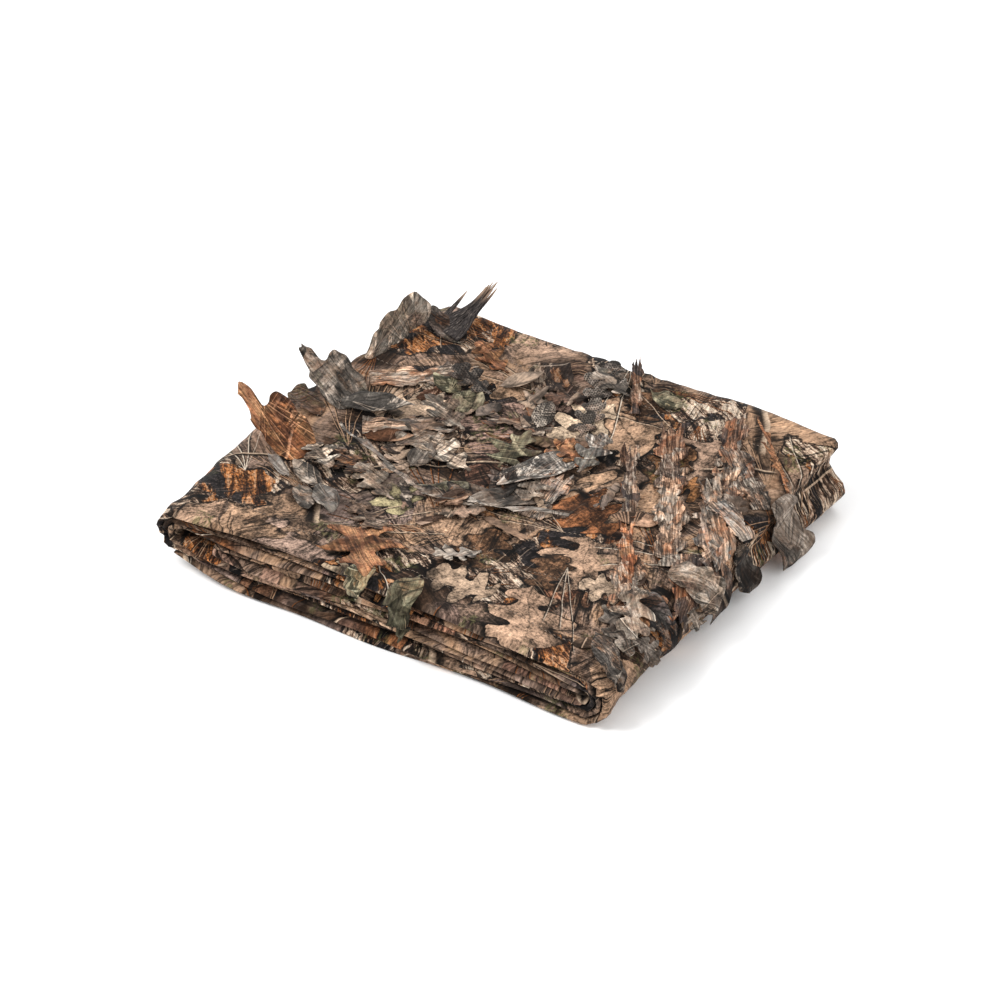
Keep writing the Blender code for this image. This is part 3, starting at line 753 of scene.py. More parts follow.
def centre_line():
    """The winding's middle line from its inner end: x, z, outward x, outward z, x carried on
    round the outermost turns, and how much it belongs to the outermost layer."""
    rows = []

    def run(layer, x_from, x_to):
        outer = layer == LAYERS - 1
        count = max(2, int(abs(x_to - x_from) / (OUTER_STEP if outer else INNER_STEP)))
        outward = 1.0 if layer > LAYERS // 2 else -1.0
        for i in range(count):
            x = x_from + (x_to - x_from) * i / count
            rows.append((x, layer * PITCH + BAND / 2, 0.0, outward, x, float(outer)))

    layer = LAYERS // 2
    x_now = WIDTH / 2 - INNER_END_INSET
    for turn in TURNS:
        x_turn = turn.side * (WIDTH / 2 - turn.inset - turn.reach)
        run(layer, x_now, x_turn)
        rising = layer == turn.lower
        z_middle = (turn.lower + turn.upper) * PITCH / 2 + BAND / 2
        rise = (turn.upper - turn.lower) * PITCH / 2
        outer = turn.upper == LAYERS - 1
        steps = OUTER_TURN_STEPS if outer else INNER_TURN_STEPS
        for i in range(steps):
            angle = math.pi * (i / steps - 0.5) * (1 if rising else -1)
            cos, sin = math.cos(angle), math.sin(angle)
            carried = x_turn + turn.side * ((math.pi / 2 - angle) * TOP / 2)
            rows.append((
                x_turn + turn.side * turn.reach * cos, z_middle + rise * sin,
                turn.side * cos, sin, carried, float(smooth(-1.0, -0.2, sin)) * outer,
            ))
        layer = turn.upper if rising else turn.lower
        x_now = x_turn
    x_end = -WIDTH / 2 + OUTER_END_INSET
    run(layer, x_now, x_end)
    rows.append((x_end, BAND / 2, 0.0, -1.0, 0.0, 0.0))
    return np.array(rows).T


# The outermost ply's points across the bundle, and a hidden ply's, as gaps from its fold
SHOWN_POINTS = 62
HIDDEN_GAPS = (0.0, 0.004, 0.012, 0.035, 0.09, 0.178, 0.266, 0.321, 0.344, 0.351)
INNER_FOLD = 2.6 * PLY
SHORT_OF_FOLD = 0.6 * PLY


def fold_line():
    """The four plies as one line across the cloth: y, height in the band, and which part of
    it is the outermost ply."""
    half, wide = 0.5 * PLY, 1.5 * PLY
    inner_front = FRONT + INNER_FOLD
    last = BACK - SHORT_OF_FOLD
    rows = [(y, wide, 1.0) for y in np.linspace(BACK, FRONT + wide, SHOWN_POINTS)]
    for i in range(1, 8):
        angle = math.pi * i / 8
        y = FRONT + wide * (1 - math.sin(angle))
        rows.append((y, wide * math.cos(angle), max(1 - i / 4, 0.0)))
    lowest = [FRONT + wide + gap for gap in HIDDEN_GAPS]
    rows += [(y, -wide, 0.0) for y in lowest if y < last]
    for i in range(5):
        angle = math.pi * i / 4
        rows.append((BACK - half * (1 - math.sin(angle)), -PLY - half * math.cos(angle), 0.0))
    inner = [inner_front + gap for gap in HIDDEN_GAPS]
    rows += [(y, -half, 0.0) for y in inner[::-1] if y < last]
    for i in range(1, 5):
        angle = math.pi * i / 5
        rows.append((inner_front - half * math.sin(angle), -half * math.cos(angle), 0.0))
    rows += [(y, half, 0.0) for y in inner if y < BACK]
    return np.array(rows).T


def grid_quads(rows, columns):
    corner = np.arange(rows * columns).reshape(rows, columns)
    return np.stack([
        corner[:-1, :-1], corner[:-1, 1:], corner[1:, 1:], corner[1:, :-1],
    ], axis=-1).reshape(-1, 4).tolist()


def set_uv(mesh, name, places):
    corners = np.zeros(len(mesh.loops), int)
    mesh.loops.foreach_get("vertex_index", corners)
    mesh.uv_layers.new(name=name).data.foreach_set("uv", places[corners].ravel())


def run_length(*line):
    steps = np.sqrt((np.diff(np.stack(line, axis=1), axis=0) ** 2).sum(axis=1))
    return np.concatenate([[0], np.cumsum(steps)])


line_x, line_z, out_x, out_z, round_x, outermost = (part[:, None] for part in centre_line())
fold_y, fold_height, outer_ply = fold_line()
ply_offset = fold_height + outermost * outer_ply * ruck(round_x, fold_y)
cloth_points = settle(line_x + out_x * ply_offset, fold_y, line_z + out_z * ply_offset)
flat_places = np.stack(np.broadcast_arrays(
    run_length(fold_y, fold_height), run_length(line_x[:, 0], line_z[:, 0])[:, None],
), axis=-1)
cloth_mesh = bpy.data.meshes.new("folded_camouflage_cloth")
cloth_mesh.from_pydata(
    cloth_points.reshape(-1, 3).tolist(), [], grid_quads(*cloth_points.shape[:2]))
set_uv(cloth_mesh, "flat_cloth", flat_places.reshape(-1, 2))
cloth_mesh.shade_smooth()
cloth = new_object("folded_camouflage_cloth", cloth_mesh)

printed_cloth, g = new_material(
    "printed_cloth", Roughness=0.88, Specular_IOR_Level=0.10, Sheen_Weight=0.03)
flat = g.uv("flat_cloth")
camo = g.group(camo_print, Vector=flat)
relief = camo["Detail"] * 0.6 + g.group(weave, Vector=flat)[0] * 0.5
g.give({"Base Color": camo["Color"], "Normal": g.bump(relief, 0.25, 0.0004)})
cloth_mesh.materials.append(printed_cloth)
finish_piece(cloth, CLOTH_THICK, "folded_cloth")


# The cut-outs: leaves, bark strips and a tuft, die cut from the same printed cloth. Each is
# sewn down at its root alone, so the rest stands or curls off the cloth under it.
FLAP_THICK = 0.0004
FLAP_GAP = 0.0008
TIER = 0.0022
CUP = 0.06
WAVE_RISE = 0.0011
TWIST_RISE = 0.0010
ROLLED_FROM = 0.35
MESH_SPACING = 0.0045
EDGE_ROUND = 0.006
EDGE_CLEARANCE = 0.004
EDGE_EASE = 0.006
CLEAR_OF_OUTLINE = MESH_SPACING * 0.35
MERGE_DISTANCE = 1e-7
NOSE_REACH = TURNS[-1].reach + BAND / 2
NOSE_END = 0.8 * math.pi

# Half outlines from the root to the tip, as percents of the length and of half the width.
# Where the left half differs from the right one, it comes second.
OAK_HALF = shares(
    0, 10, 7, 10, 14, 16, 17, 40, 22, 62, 30, 64, 34, 46, 34, 26, 39, 28, 43, 60, 50, 94,
    58, 98, 62, 76, 60, 44, 64, 32, 69, 52, 76, 80, 84, 80, 87, 56, 86, 34, 92, 30, 98, 22,
    100, 0,
)
OAK_HALF_OTHER = shares(
    0, 10, 9, 10, 18, 20, 22, 46, 28, 68, 35, 64, 38, 44, 40, 28, 46, 32, 49, 66, 55, 96,
    64, 92, 67, 66, 66, 38, 71, 32, 76, 56, 82, 72, 89, 62, 90, 38, 94, 28, 99, 18, 100, 0,
)
FINGERED_HALF = shares(
    0, 50, 12, 72, 24, 84, 36, 82, 46, 80, 54, 92, 63, 102, 72, 98, 77, 82, 76, 62, 71, 46,
    68, 32, 74, 25, 83, 27, 92, 27, 98, 18, 100, 0,
)
FINGERED_HALF_OTHER = shares(
    0, 50, 12, 78, 26, 94, 38, 92, 46, 78, 52, 80, 57, 94, 63, 100, 69, 90, 70, 68, 68, 46,
    72, 30, 82, 24, 92, 26, 98, 16, 100, 0,
)
KNUCKLED_HALF = shares(
    0, 50, 10, 70, 20, 84, 30, 92, 38, 90, 45, 92, 52, 100, 58, 104, 64, 100, 70, 94, 76, 92,
    83, 96, 90, 98, 95, 94, 99, 82, 100, 72, 100, 62,
)
KNUCKLED_HALF_OTHER = shares(
    0, 50, 12, 74, 24, 90, 36, 98, 46, 94, 54, 84, 62, 84, 71, 78, 78, 64, 82, 42, 81, 18,
    77, 2, 74, -14, 76, -30, 86, -38, 95, -44, 100, -62,
)
BLUNT_HALF = shares(
    0, 30, 10, 56, 22, 78, 30, 66, 36, 84, 50, 100, 60, 86, 68, 96, 80, 102, 91, 84, 98, 46,
    100, 0,
)
MAPLE_HALF = shares(
    0, 5, 10, 5, 13, 14, 12, 44, 16, 74, 22, 56, 26, 40, 32, 36, 36, 58, 44, 80, 54, 100,
    54, 74, 54, 46, 57, 28, 64, 30, 72, 48, 80, 50, 79, 32, 82, 20, 90, 14, 100, 0,
)
PLAIN_HALF = shares(
    0, 4, 5, 10, 13, 52, 28, 88, 46, 100, 64, 92, 80, 64, 92, 28, 100, 0,
)
SMOOTH_OUTLINES = {
    "oak": (OAK_HALF, OAK_HALF_OTHER),
    "fingered": (FINGERED_HALF, FINGERED_HALF_OTHER),
    "maple": (MAPLE_HALF, MAPLE_HALF),
    "leaf": (PLAIN_HALF, PLAIN_HALF),
    "blunt": (BLUNT_HALF, BLUNT_HALF),
    "knuckled": (KNUCKLED_HALF, KNUCKLED_HALF_OTHER),
}
UNEVEN = 0.035
CURVE_STEPS = 3
BARK_STEPS = 27
BARK_LENGTH = 0.93
BARK_NOTCHES, NOTCH_SHARE = 3, 0.62
TWIG_STEPS = 13
TWIG_HALF = 0.42
SHOOTS = ((0.03, 1.1), (0.03, -0.9))


def smooth_outline(halves, chance):
    """A leaf's closed outline, rounded through its points, each moved a little at random."""
    right, left = halves
    back = [(along, -across) for along, across in left[-2:0:-1]]
    points = np.array(right + back + [(0.0, -left[0][1])])
    uneven = chance.uniform(-UNEVEN, UNEVEN, points.shape)
    points = points + uneven * (0.15 + np.abs(points[:, 1:]))
    before, after, later = (np.roll(points, shift, axis=0) for shift in (1, -1, -2))
    curve = []
    for i in range(CURVE_STEPS):
        t = i / CURVE_STEPS
        curve.append(0.5 * (
            2 * points + (after - before) * t
            + (2 * before - 5 * points + 4 * after - later) * t**2
            + (3 * points - before - 3 * after + later) * t**3
        ))
    return np.stack(curve, axis=1).reshape(-1, 2)


def bark_outline(chance):
    """A bark strip's torn outline: ragged sides, a notch or two, and splintered ends."""
    sides = []
    for side in (1, -1):
        along = np.linspace(0.0, BARK_LENGTH, BARK_STEPS) + chance.uniform(-0.02, 0.02, BARK_STEPS)
        along[0] = 0.0
        across = 0.80 + 0.20 * np.sin(along * chance.uniform(9, 19) + chance.uniform(0, 6.3))
        across *= chance.uniform(0.70, 1.0, BARK_STEPS)
        across[chance.integers(3, BARK_STEPS - 2, BARK_NOTCHES)] *= NOTCH_SHARE
        sides.append(np.stack([along, side * across], axis=1))
    splinters = np.array(shares(100, 55, 88, 30, 97, 5, 84, -15, 99, -45))
    splinters[:, 0] += chance.uniform(-0.05, 0.0, len(splinters))
    return np.concatenate([sides[0], splinters, sides[1][::-1]])


def twig_outline(chance):
    """A thin crooked twig's outline, with a stub or two of side shoots."""
    along = np.linspace(0.0, 1.0, TWIG_STEPS)
    middle = np.cumsum(chance.uniform(-0.35, 0.35, TWIG_STEPS))
    middle -= np.linspace(middle[0], middle[-1], TWIG_STEPS)
    half = TWIG_HALF * (1 - 0.55 * along) * chance.uniform(0.7, 1.2, TWIG_STEPS)
    right = np.stack([along, middle + half], axis=1)
    left = np.stack([along, middle - half], axis=1)
    right[4] += SHOOTS[0]
    left[8] += SHOOTS[1]
    return np.concatenate([right, left[::-1]])


def outline_of(kind, chance):
    if kind == "bark":
        return bark_outline(chance)
    if kind == "twig":
        return twig_outline(chance)
    return smooth_outline(SMOOTH_OUTLINES[kind], chance)


def over_cloth(x, y, gap):
    """Places at a distance off the cloth's outer face, also past its nose or front edge."""
    past_nose = x > NOSE_X
    stand_off = 1.5 * PLY + CLOTH_THICK / 2 - BAND / 2
    angle = np.clip((x - NOSE_X) / (TOP / 2 + gap), 0.0, NOSE_END)
    gap = gap + stand_off + ruck(np.where(past_nose, NOSE_X + angle * TOP / 2, x), y)
    z = np.where(past_nose, TOP / 2 + (TOP / 2 + gap) * np.cos(angle), TOP + gap)
    x = np.where(past_nose, NOSE_X + (NOSE_REACH + gap) * np.sin(angle), x)
    past_edge = np.maximum(FRONT + EDGE_ROUND - y, 0.0)
    radius = EDGE_ROUND + gap + EDGE_CLEARANCE * smooth(0.0, EDGE_EASE, past_edge)
    angle = np.minimum(past_edge / radius, math.pi / 2)
    over = past_edge > 0
    y = np.where(over, FRONT + EDGE_ROUND - radius * np.sin(angle), y)
    z = np.where(over, z - radius * (1 - np.cos(angle)) - past_edge + radius * angle, z)
    return settle(x, y, z)


# x and y place the root, heading is the way that it points, rise is how far its tip stands
# off, a tier lies over the tiers below it, and roll turns it about its own line
Flap = namedtuple("Flap", "name outline tone x y heading length width rise tier roll")


def flaps(table):
    """Flaps from rows in millimetres and degrees. Tier and roll are 0 if left out."""
    made = []
    for row in table.strip().split("\n"):
        name, outline, tone, *numbers = row.split()
        numbers = [int(number) for number in numbers] + [0, 0]
        x, y, heading, length, width, rise, tier, roll = numbers[:8]
        made.append(Flap(name, outline, tone, x / 1000, y / 1000, heading, length / 1000,
                         width / 1000, rise / 1000, tier, roll))
    return tuple(made)


def flap_points(flap, along, across, laid, chance):
    """Places on a flap's middle surface, from shares of its length and half width."""
    half_width = flap.width / 2
    gap = FLAP_GAP + flap.tier * TIER + flap.rise * np.maximum(along, 0) ** 1.5
    gap = gap + CUP * half_width * across**2
    wave, turn = chance.uniform(0, 2 * math.pi, 2)
    waved = 1 + np.sin(7.0 * along + wave) * np.sign(across + 0.01)
    gap = gap + WAVE_RISE * along * np.abs(across) * waved
    gap = gap + TWIST_RISE * along * (1 + np.sin(4.0 * across + 3.0 * along + turn))
    cos, sin = pointing(flap.heading)
    if laid:
        flat_x = flap.x + cos * flap.length * along - sin * across * half_width
        flat_y = flap.y + sin * flap.length * along + cos * across * half_width
        return over_cloth(flat_x, flat_y, gap)
    reach = math.sqrt(flap.length**2 - flap.rise**2) * along
    roll = math.radians(flap.roll)
    flat_across = across * half_width * math.cos(roll)
    gap = gap + (1 + across) * half_width * math.sin(roll) * smooth(0.0, ROLLED_FROM, along)
    offset = (cos * reach - sin * flat_across, sin * reach + cos * flat_across, gap)
    return over_cloth(np.array(flap.x), np.array(flap.y), np.array(0.0)) + np.stack(offset, axis=-1)


def flap_mesh(name, outline, length, half_width, place_points, chance):
    """A thin flap cut to an outline, with its two UV maps: its flat place and its shares."""
    size = np.array([length, half_width])
    edge = outline * size
    low, high = edge.min(axis=0), edge.max(axis=0)
    inner = np.stack(np.meshgrid(*(
        np.arange(low[i] + MESH_SPACING / 2, high[i], MESH_SPACING) for i in (0, 1)
    )), axis=-1).reshape(-1, 2)
    clear = np.sqrt(((inner[:, None, :] - edge[None, :, :]) ** 2).sum(axis=-1)).min(axis=1)
    inner = inner[clear > CLEAR_OF_OUTLINE]
    flat = [Vector(p) for p in np.concatenate([edge, inner]).tolist()]
    flat, _, faces, *_ = delaunay_2d_cdt(flat, [], [list(range(len(edge)))], 1, MERGE_DISTANCE)
    flat = np.array([tuple(p) for p in flat])
    used = np.unique(np.concatenate([np.array(face) for face in faces]))
    number = {old: new for new, old in enumerate(used.tolist())}
    flat = flat[used]
    in_shares = flat / size
    mesh = bpy.data.meshes.new(name)
    mesh.from_pydata(
        place_points(in_shares[:, 0], in_shares[:, 1]).tolist(), [],
        [[number[i] for i in face] for face in faces],
    )
    set_uv(mesh, "flat_cloth", flat[:, ::-1] + chance.uniform(0, 3.0, 2))
    set_uv(mesh, "leaf_place", in_shares)
    mesh.shade_smooth()
    return mesh


def vein_group():
    """The leaves' own printed veins and shading, over the camouflage print."""
    g, (place, veins) = node_tree("leaf veins", "Vector Veins", "Vein Light")
    along, across = g.split(place)
    off_rib = abs(across)
    rank = along + off_rib * off_rib * 0.10 - off_rib * 0.32
    slant = g.math("FRACT", rank * veins)
    branch = g.step(abs(slant - 0.5), 0.10, 0.03) * g.step(off_rib, 0.95, 0.5) * 0.65
    side = g.step(across, -0.1, 0.1) * 0.22 + 0.90
    g.give({
        "Vein": g.math("MAXIMUM", g.step(off_rib, 0.060, 0.020), branch),
        "Light": (slant * 0.14 + 0.90) * side,
    })
    return g.tree


leaf_veins = vein_group()

FlapTone = namedtuple("FlapTone", "slot deep mid pale own")
FLAP_TONES = (
    FlapTone("rust", DEEP_RUST, (0.39, 0.150, 0.065, 1), (0.60, 0.30, 0.14, 1), 0.78),
    FlapTone("grey", (0.09, 0.078, 0.068, 1), (0.21, 0.18, 0.15, 1), (0.46, 0.40, 0.34, 1), 0.72),
    FlapTone("beige", GREY_BROWN, (0.45, 0.34, 0.25, 1), CREAM, 0.74),
    FlapTone("white", GREY_BROWN, PALE_GREY, CREAM, 0.70),
    FlapTone("dark", ALMOST_BLACK, (0.050, 0.042, 0.037, 1), (0.20, 0.18, 0.16, 1), 0.72),
    FlapTone("green", (0.10, 0.088, 0.052, 1), (0.20, 0.188, 0.11, 1), (0.42, 0.40, 0.26, 1), 0.66),
    FlapTone("brown", DARK_BROWN, MID_BROWN, GREY_BROWN, 0.60),
)
WARM_BARK = (1.60, 1.14, 0.86, 1)
# Open mesh: how far apart its holes are, and a hole's radius as a share of that
HOLE_PITCH = 0.0021
HOLE_SIZE = 0.26


def print_light(g, colour):
    """The print's own light and dark, as a factor for another colour."""
    return g.math("POWER", g.bright(colour), 0.6) * 2.1 + 0.12


def bark_look(g, flat, own):
    """Cracked bark's colour and height, made from its own tone."""
    cracked = g.group(bark_print, Vector=flat, Angle=0.0, Turn=0.30, Cell=0.022, Grain=230.0)
    splinters = g.noise(g.stretch(flat, 0.06), 620.0, 4.0, 0.65, 0.4)
    own = g.mix(0.52, own, cracked["Color"])
    warm = g.step(g.noise(g.stretch(flat, 0.45), 70.0, 3.0, 0.6), 0.44, 0.58)
    own = g.mix(warm * 0.60, own, g.mix(1.0, own, WARM_BARK, "MULTIPLY"))
    own = g.shade(own, g.step(splinters, 0.38, 0.62) * 0.95 + 0.30)
    return own, splinters * 2.0 - cracked["Crack"]


def mesh_look(g, flat, own, camo):
    """Open mesh's colour and height: holes in staggered rows, painted near black as painted shade.
    """
    across, along = g.split(g.turn(flat, 0.5))
    row = along / HOLE_PITCH
    skip = g.math("FLOOR", row) * 0.5
    cell_x = g.math("FRACT", across / HOLE_PITCH + skip) - 0.5
    cell_y = g.math("FRACT", row) - 0.5
    from_hole = g.vector("LENGTH", g.xyz(cell_x, cell_y))
    hole = g.step(from_hole, HOLE_SIZE + 0.10, HOLE_SIZE - 0.06)
    colour = g.mix(0.75, camo, own)
    # Painted shade: each hole is painted near black for the shade seen through it, and its height
    # sinks it too.
    return g.mix(hole * 0.90, colour, ALMOST_BLACK), hole * -1.5


def leaf_look(g, flat, own, camo, tone, blotch):
    """A leaf's colour and height: fine lines, and veins in its deep tone."""
    veins = g.group(leaf_veins, Vector=g.uv("leaf_place"), Veins=7.0)
    own = g.shade(own, veins["Light"])
    grain = g.noise(g.stretch(g.turn(flat, 0.25), 0.07), 460.0, 3.0, 0.6, 0.5)
    own = g.shade(own, g.step(grain, 0.38, 0.60) * 0.75 + 0.42)
    own = g.mix(veins["Vein"] * 0.50, own, tone.deep)
    return g.mix(tone.own, camo, own), blotch - veins["Vein"] * 0.6


def flap_material(tone, kind):
    """Printed flap cloth in one tone: veined for a leaf, cracked for bark, holed for mesh."""
    material, g = new_material(
        f"{tone.slot}_{kind}", Roughness=0.85, Specular_IOR_Level=0.10, Sheen_Weight=0.03)
    flat = g.uv("flat_cloth")
    camo = g.group(camo_print, Vector=flat)["Color"]
    blotch = g.noise(flat, 62.0, 5.0, 0.62)
    own = g.ramp(blotch, [(0.30, tone.deep), (0.46, tone.mid), (0.62, tone.pale), (0.74, tone.mid)])
    own = g.shade(own, print_light(g, camo))
    if kind == "bark":
        colour, height = bark_look(g, flat, own)
    elif kind == "mesh":
        colour, height = mesh_look(g, flat, own, camo)
    else:
        colour, height = leaf_look(g, flat, own, camo, tone, blotch)
    relief = g.group(weave, Vector=flat)[0] * 0.4 + height
    g.give({"Base Color": colour, "Normal": g.bump(relief, 0.3, 0.0005)})
    return material


leaf_cloths = {tone.slot: flap_material(tone, "leaf") for tone in FLAP_TONES}
bark_cloths = {tone.slot: flap_material(tone, "bark") for tone in FLAP_TONES}
mesh_cloths = {
    tone.slot: flap_material(tone, "mesh") for tone in FLAP_TONES if tone.slot in ("grey", "dark")
}


def flap_piece(flap, laid, chance):
    """A flap's object: its outline, its curved sheet and its printed cloth."""
    outline = outline_of(flap.outline, chance)
    mesh = flap_mesh(
        f"{flap.name}_cloth", outline, flap.length, flap.width / 2,
        lambda along, across: flap_points(flap, along, across, laid, chance), chance,
    )
    cloths = bark_cloths if flap.outline == "bark" else leaf_cloths
    if "mesh" in flap.name:
        cloths = mesh_cloths
    mesh.materials.append(cloths[flap.tone])
    return new_object(f"{flap.name}_cloth", mesh)


STANDING_FLAPS = flaps("""
edge_leaf_rust knuckled rust -140 -67 160 74 43 36
edge_leaf_grey knuckled grey -147 11 154 64 40 28
edge_leaf_beige blunt beige -183 75 85 74 25 10 0 40
back_strip_tip bark brown 36 123 123 74 12 6 1
mesh_leaf oak grey -6 119 99 52 36 10
""")
LAID_FLAPS = flaps("""
left_leaf_grey leaf grey -124 -98 313 42 18 2
left_leaf_white leaf white -110 -90 314 45 20 2 1
left_bark bark beige -159 48 41 86 34 4
left_bark_low bark grey -128 -5 33 70 26 4
back_leaf_brown leaf brown -56 112 77 40 40 3
oak_leaf_high oak beige -62 30 159 46 30 4 3
oak_leaf_mid oak beige -30 -8 167 50 32 4 1
oak_leaf_low oak brown -66 -36 146 36 24 3
green_patch maple green -16 10 96 52 44 3 1
green_leaf_left leaf green -84 52 92 34 26 3
striped_leaf leaf dark 10 -30 108 40 22 5 1
mesh_leaf_small leaf grey -22 70 103 30 18 5 1
mesh_leaf_low oak grey 12 80 105 43 26 4
cream_leaf oak white 42 36 97 44 32 6 2
rust_leaf_mid oak rust 18 28 99 42 28 4
wood_strip bark white 44 -34 99 66 32 3
white_leaf oak white 38 -92 242 42 28 5
maple_leaf maple rust -56 -116 306 80 68 3 1
front_leaf_short leaf green -16 -158 272 46 20 3 2
front_leaf_long leaf green 22 -152 276 70 24 3 2
strip_front bark rust 166 -80 124 92 18 4 1
strip_middle bark brown 112 4 124 98 18 4 1
strip_wide_front bark beige 172 -30 123 86 32 3
strip_wide_back bark brown 120 48 123 90 32 3
strip_right_front bark beige 180 30 121 78 30 3
strip_right_back bark brown 140 100 118 66 28 3
nose_leaf_beige oak beige 164 -66 300 73 36 5 2
nose_leaf_wide blunt beige 178 -40 15 55 36 5 2
nose_leaf_bark oak grey 199 -47 346 34 28 7
nose_leaf_grey oak grey 198 -120 6 33 24 4 3
nose_leaf_dark blunt dark 197 27 357 46 30 8
nose_leaf_back blunt grey 194 87 2 65 44 9 1
""")
flap_chance = np.random.default_rng(5)
for laid, table in ((False, STANDING_FLAPS), (True, LAID_FLAPS)):
    for flap in table:
        piece = flap_piece(flap, laid, flap_chance)
        finish_piece(piece, FLAP_THICK, flap.name)


# The smaller cut-outs between the main ones: scraps of leaf, bark and twig, sewn on in the
# same way. They follow the cloth closely, and those of one tone are one piece.
SMALL_FLAPS = flaps("""
web leaf dark -137 135 161 48 25 10
oak_far_left oak beige -71 39 251 58 34 4
dark_mesh oak dark -75 85 170 40 28 5 2
wood_a leaf white 31 69 250 90 30 4 1
wood_b leaf grey 51 19 231 96 32 5
wood_c leaf dark 18 -21 207 76 26 4
long_twig twig white 72 -20 201 118 10 2 2
left_twig twig white -48 -54 160 94 10 2 2
leaf_between blunt brown -160 -10 186 29 25 9
pale_bit leaf white -134 -97 158 30 11 4
grey_bit leaf grey -108 -93 159 36 18 4
low_brown oak brown -82 -91 326 56 30 4
fork_a twig rust 196 99 139 92 8 2 1
fork_b twig rust 190 108 150 46 7 2 1
ragged_a bark beige 196 9 132 90 26 3 1
ragged_b bark grey 190 72 143 80 26 3
ragged_c bark white 200 37 162 48 22 4 1
fan_dark fingered dark 173 -74 335 56 34 6
fan_grey oak grey 158 -101 324 60 32 6
orange_bit leaf rust 172 -84 318 45 15 4 1
low_beige bark beige 138 -35 300 74 32 4
mid_beige bark brown 174 -9 302 80 30 4
low_grey leaf grey 171 -134 318 55 22 6 1
low_dark leaf dark 188 -148 335 36 18 6
nose_white bark white 158 44 308 76 30 4
nose_dark leaf dark 190 2 330 60 36 6
dark_a bark beige 102 80 300 86 28 3
dark_b bark grey 134 112 304 80 26 3
top_rust oak rust -85 122 162 42 28 4
top_brown oak brown -10 126 226 36 24 4 1
top_grey oak grey 18 140 165 40 28 6 1
back_green leaf green 62 150 174 33 20 3
left_green leaf green -94 72 167 29 18 3 1
mid_oak oak beige 20 31 282 56 30 4 1
mid_bark bark brown -12 77 203 56 22 3
mid_rust oak rust 45 48 169 34 24 4 1
mid_grey leaf grey -68 -31 90 30 20 4 1
left_tan oak beige -57 -73 159 46 30 4
left_brown oak brown -135 -44 337 50 30 4
root_pale leaf grey -158 3 28 60 26 4 2
root_leaf oak beige -150 -50 330 44 30 4 1
""")
TWIGS = tuple(flap for flap in SMALL_FLAPS if flap.outline == "twig")
small_chance = np.random.default_rng(23)
for tone in FLAP_TONES:
    parts = [flap_piece(flap, True, small_chance) for flap in SMALL_FLAPS if flap.tone == tone.slot]
    with bpy.context.temp_override(active_object=parts[0], selected_editable_objects=parts,
                                   selected_objects=parts):
        bpy.ops.object.join()
    parts[0].name = f"small_{tone.slot}_cutouts"
    finish_piece(parts[0], FLAP_THICK)


# The litter: scraps of the same cut cloth, two fingers wide, caught between the cut-outs.
# Geometry Nodes strew four shapes of them over the cloth's face, thickest in these spots.
Spot = namedtuple("Spot", "x y reach_x reach_y")
LITTER_SPOTS = (
    Spot(-0.110, 0.000, 0.030, 0.050), Spot(-0.060, 0.070, 0.050, 0.030),
    Spot(0.010, 0.000, 0.050, 0.050), Spot(-0.060, -0.050, 0.040, 0.020),
    Spot(0.030, 0.090, 0.040, 0.025), Spot(0.165, -0.110, 0.020, 0.035),
    Spot(0.178, -0.040, 0.020, 0.045), Spot(0.110, 0.030, 0.030, 0.035),
    Spot(0.175, 0.050, 0.020, 0.035),
)
LITTER_PER_SQUARE_METRE = 2300.0
LITTER_GAP = 0.0010
LITTER_SIZES = (0.95, 1.80)
LITTER_GRID = 0.008
LITTER_X = (-0.170, 0.245)
LITTER_Y = (-0.155, 0.150)
KEPT_CLEAR = 0.80
Scrap = namedtuple("Scrap", "outline length width rise")
SCRAPS = (
    Scrap("oak", 0.026, 0.017, 0.0030),
    Scrap("leaf", 0.024, 0.011, 0.0040),
    Scrap("maple", 0.022, 0.019, 0.0030),
    Scrap("bark", 0.034, 0.009, 0.0020),
)


def baked(name, base, tree, values, helpers):
    """A plain object made by a node tree from a base mesh. The helper objects go away."""
    source = new_object("source", base)
    nodes = source.modifiers.new("nodes", "NODES")
    nodes.node_group = tree
    for item in tree.interface.items_tree:
        if item.name in values:
            nodes[item.identifier] = values[item.name]
    depsgraph = bpy.context.evaluated_depsgraph_get()
    mesh = bpy.data.meshes.new_from_object(
        source.evaluated_get(depsgraph), preserve_all_data_layers=True, depsgraph=depsgraph)
    mesh.name = name
    for helper in [source] + helpers:
        bpy.data.objects.remove(helper)
    return new_object(name, mesh)


def litter_tree(count):
    """Scraps strewn over a ground, each with a random spin, size and print."""
    scraps = " ".join(f"Scrap{i}" for i in range(count))
    g, (ground, density, smallest, largest, seed, material, *shapes) = node_tree(
        "strewn litter", f"Ground Density Smallest Largest Seed Cloth {scraps}", "Geometry",
        "GeometryNodeTree")
    dots = g.add("GeometryNodeDistributePointsOnFaces", {
        "Mesh": ground, "Density": g.named("litter", "FLOAT") * density, "Seed": seed,
    })
    joined = g.add("GeometryNodeJoinGeometry")
    for shape in shapes:
        scrap = g.add("GeometryNodeObjectInfo", {"Object": shape, "As Instance": True})
        g.fill(joined.node, {0: scrap["Geometry"]})
    spin = g.add("FunctionNodeRandomValue", {
        "Min": (0, 0, 0), "Max": (0, 0, 2 * math.pi), "Seed": seed,
    }, data_type="FLOAT_VECTOR")[0]
    spin = g.add("FunctionNodeEulerToRotation", {0: spin})[0]
    turn = g.add("FunctionNodeRotateRotation", {"Rotation": dots["Rotation"], "Rotate By": spin},
                 rotation_space="LOCAL")[0]
    size = g.add("FunctionNodeRandomValue", {2: smallest, 3: largest, "Seed": seed})[1]
    pick = g.add("FunctionNodeRandomValue", {4: 0, 5: count - 1, "Seed": seed}, data_type="INT")[2]
    number = g.add("FunctionNodeRandomValue", {"Seed": seed})[1]
    g.lay(dots["Points"], joined[0], material, ("scrap_number", number), Pick_Instance=True,
          Instance_Index=pick, Rotation=turn, Scale=size)
    return g.tree


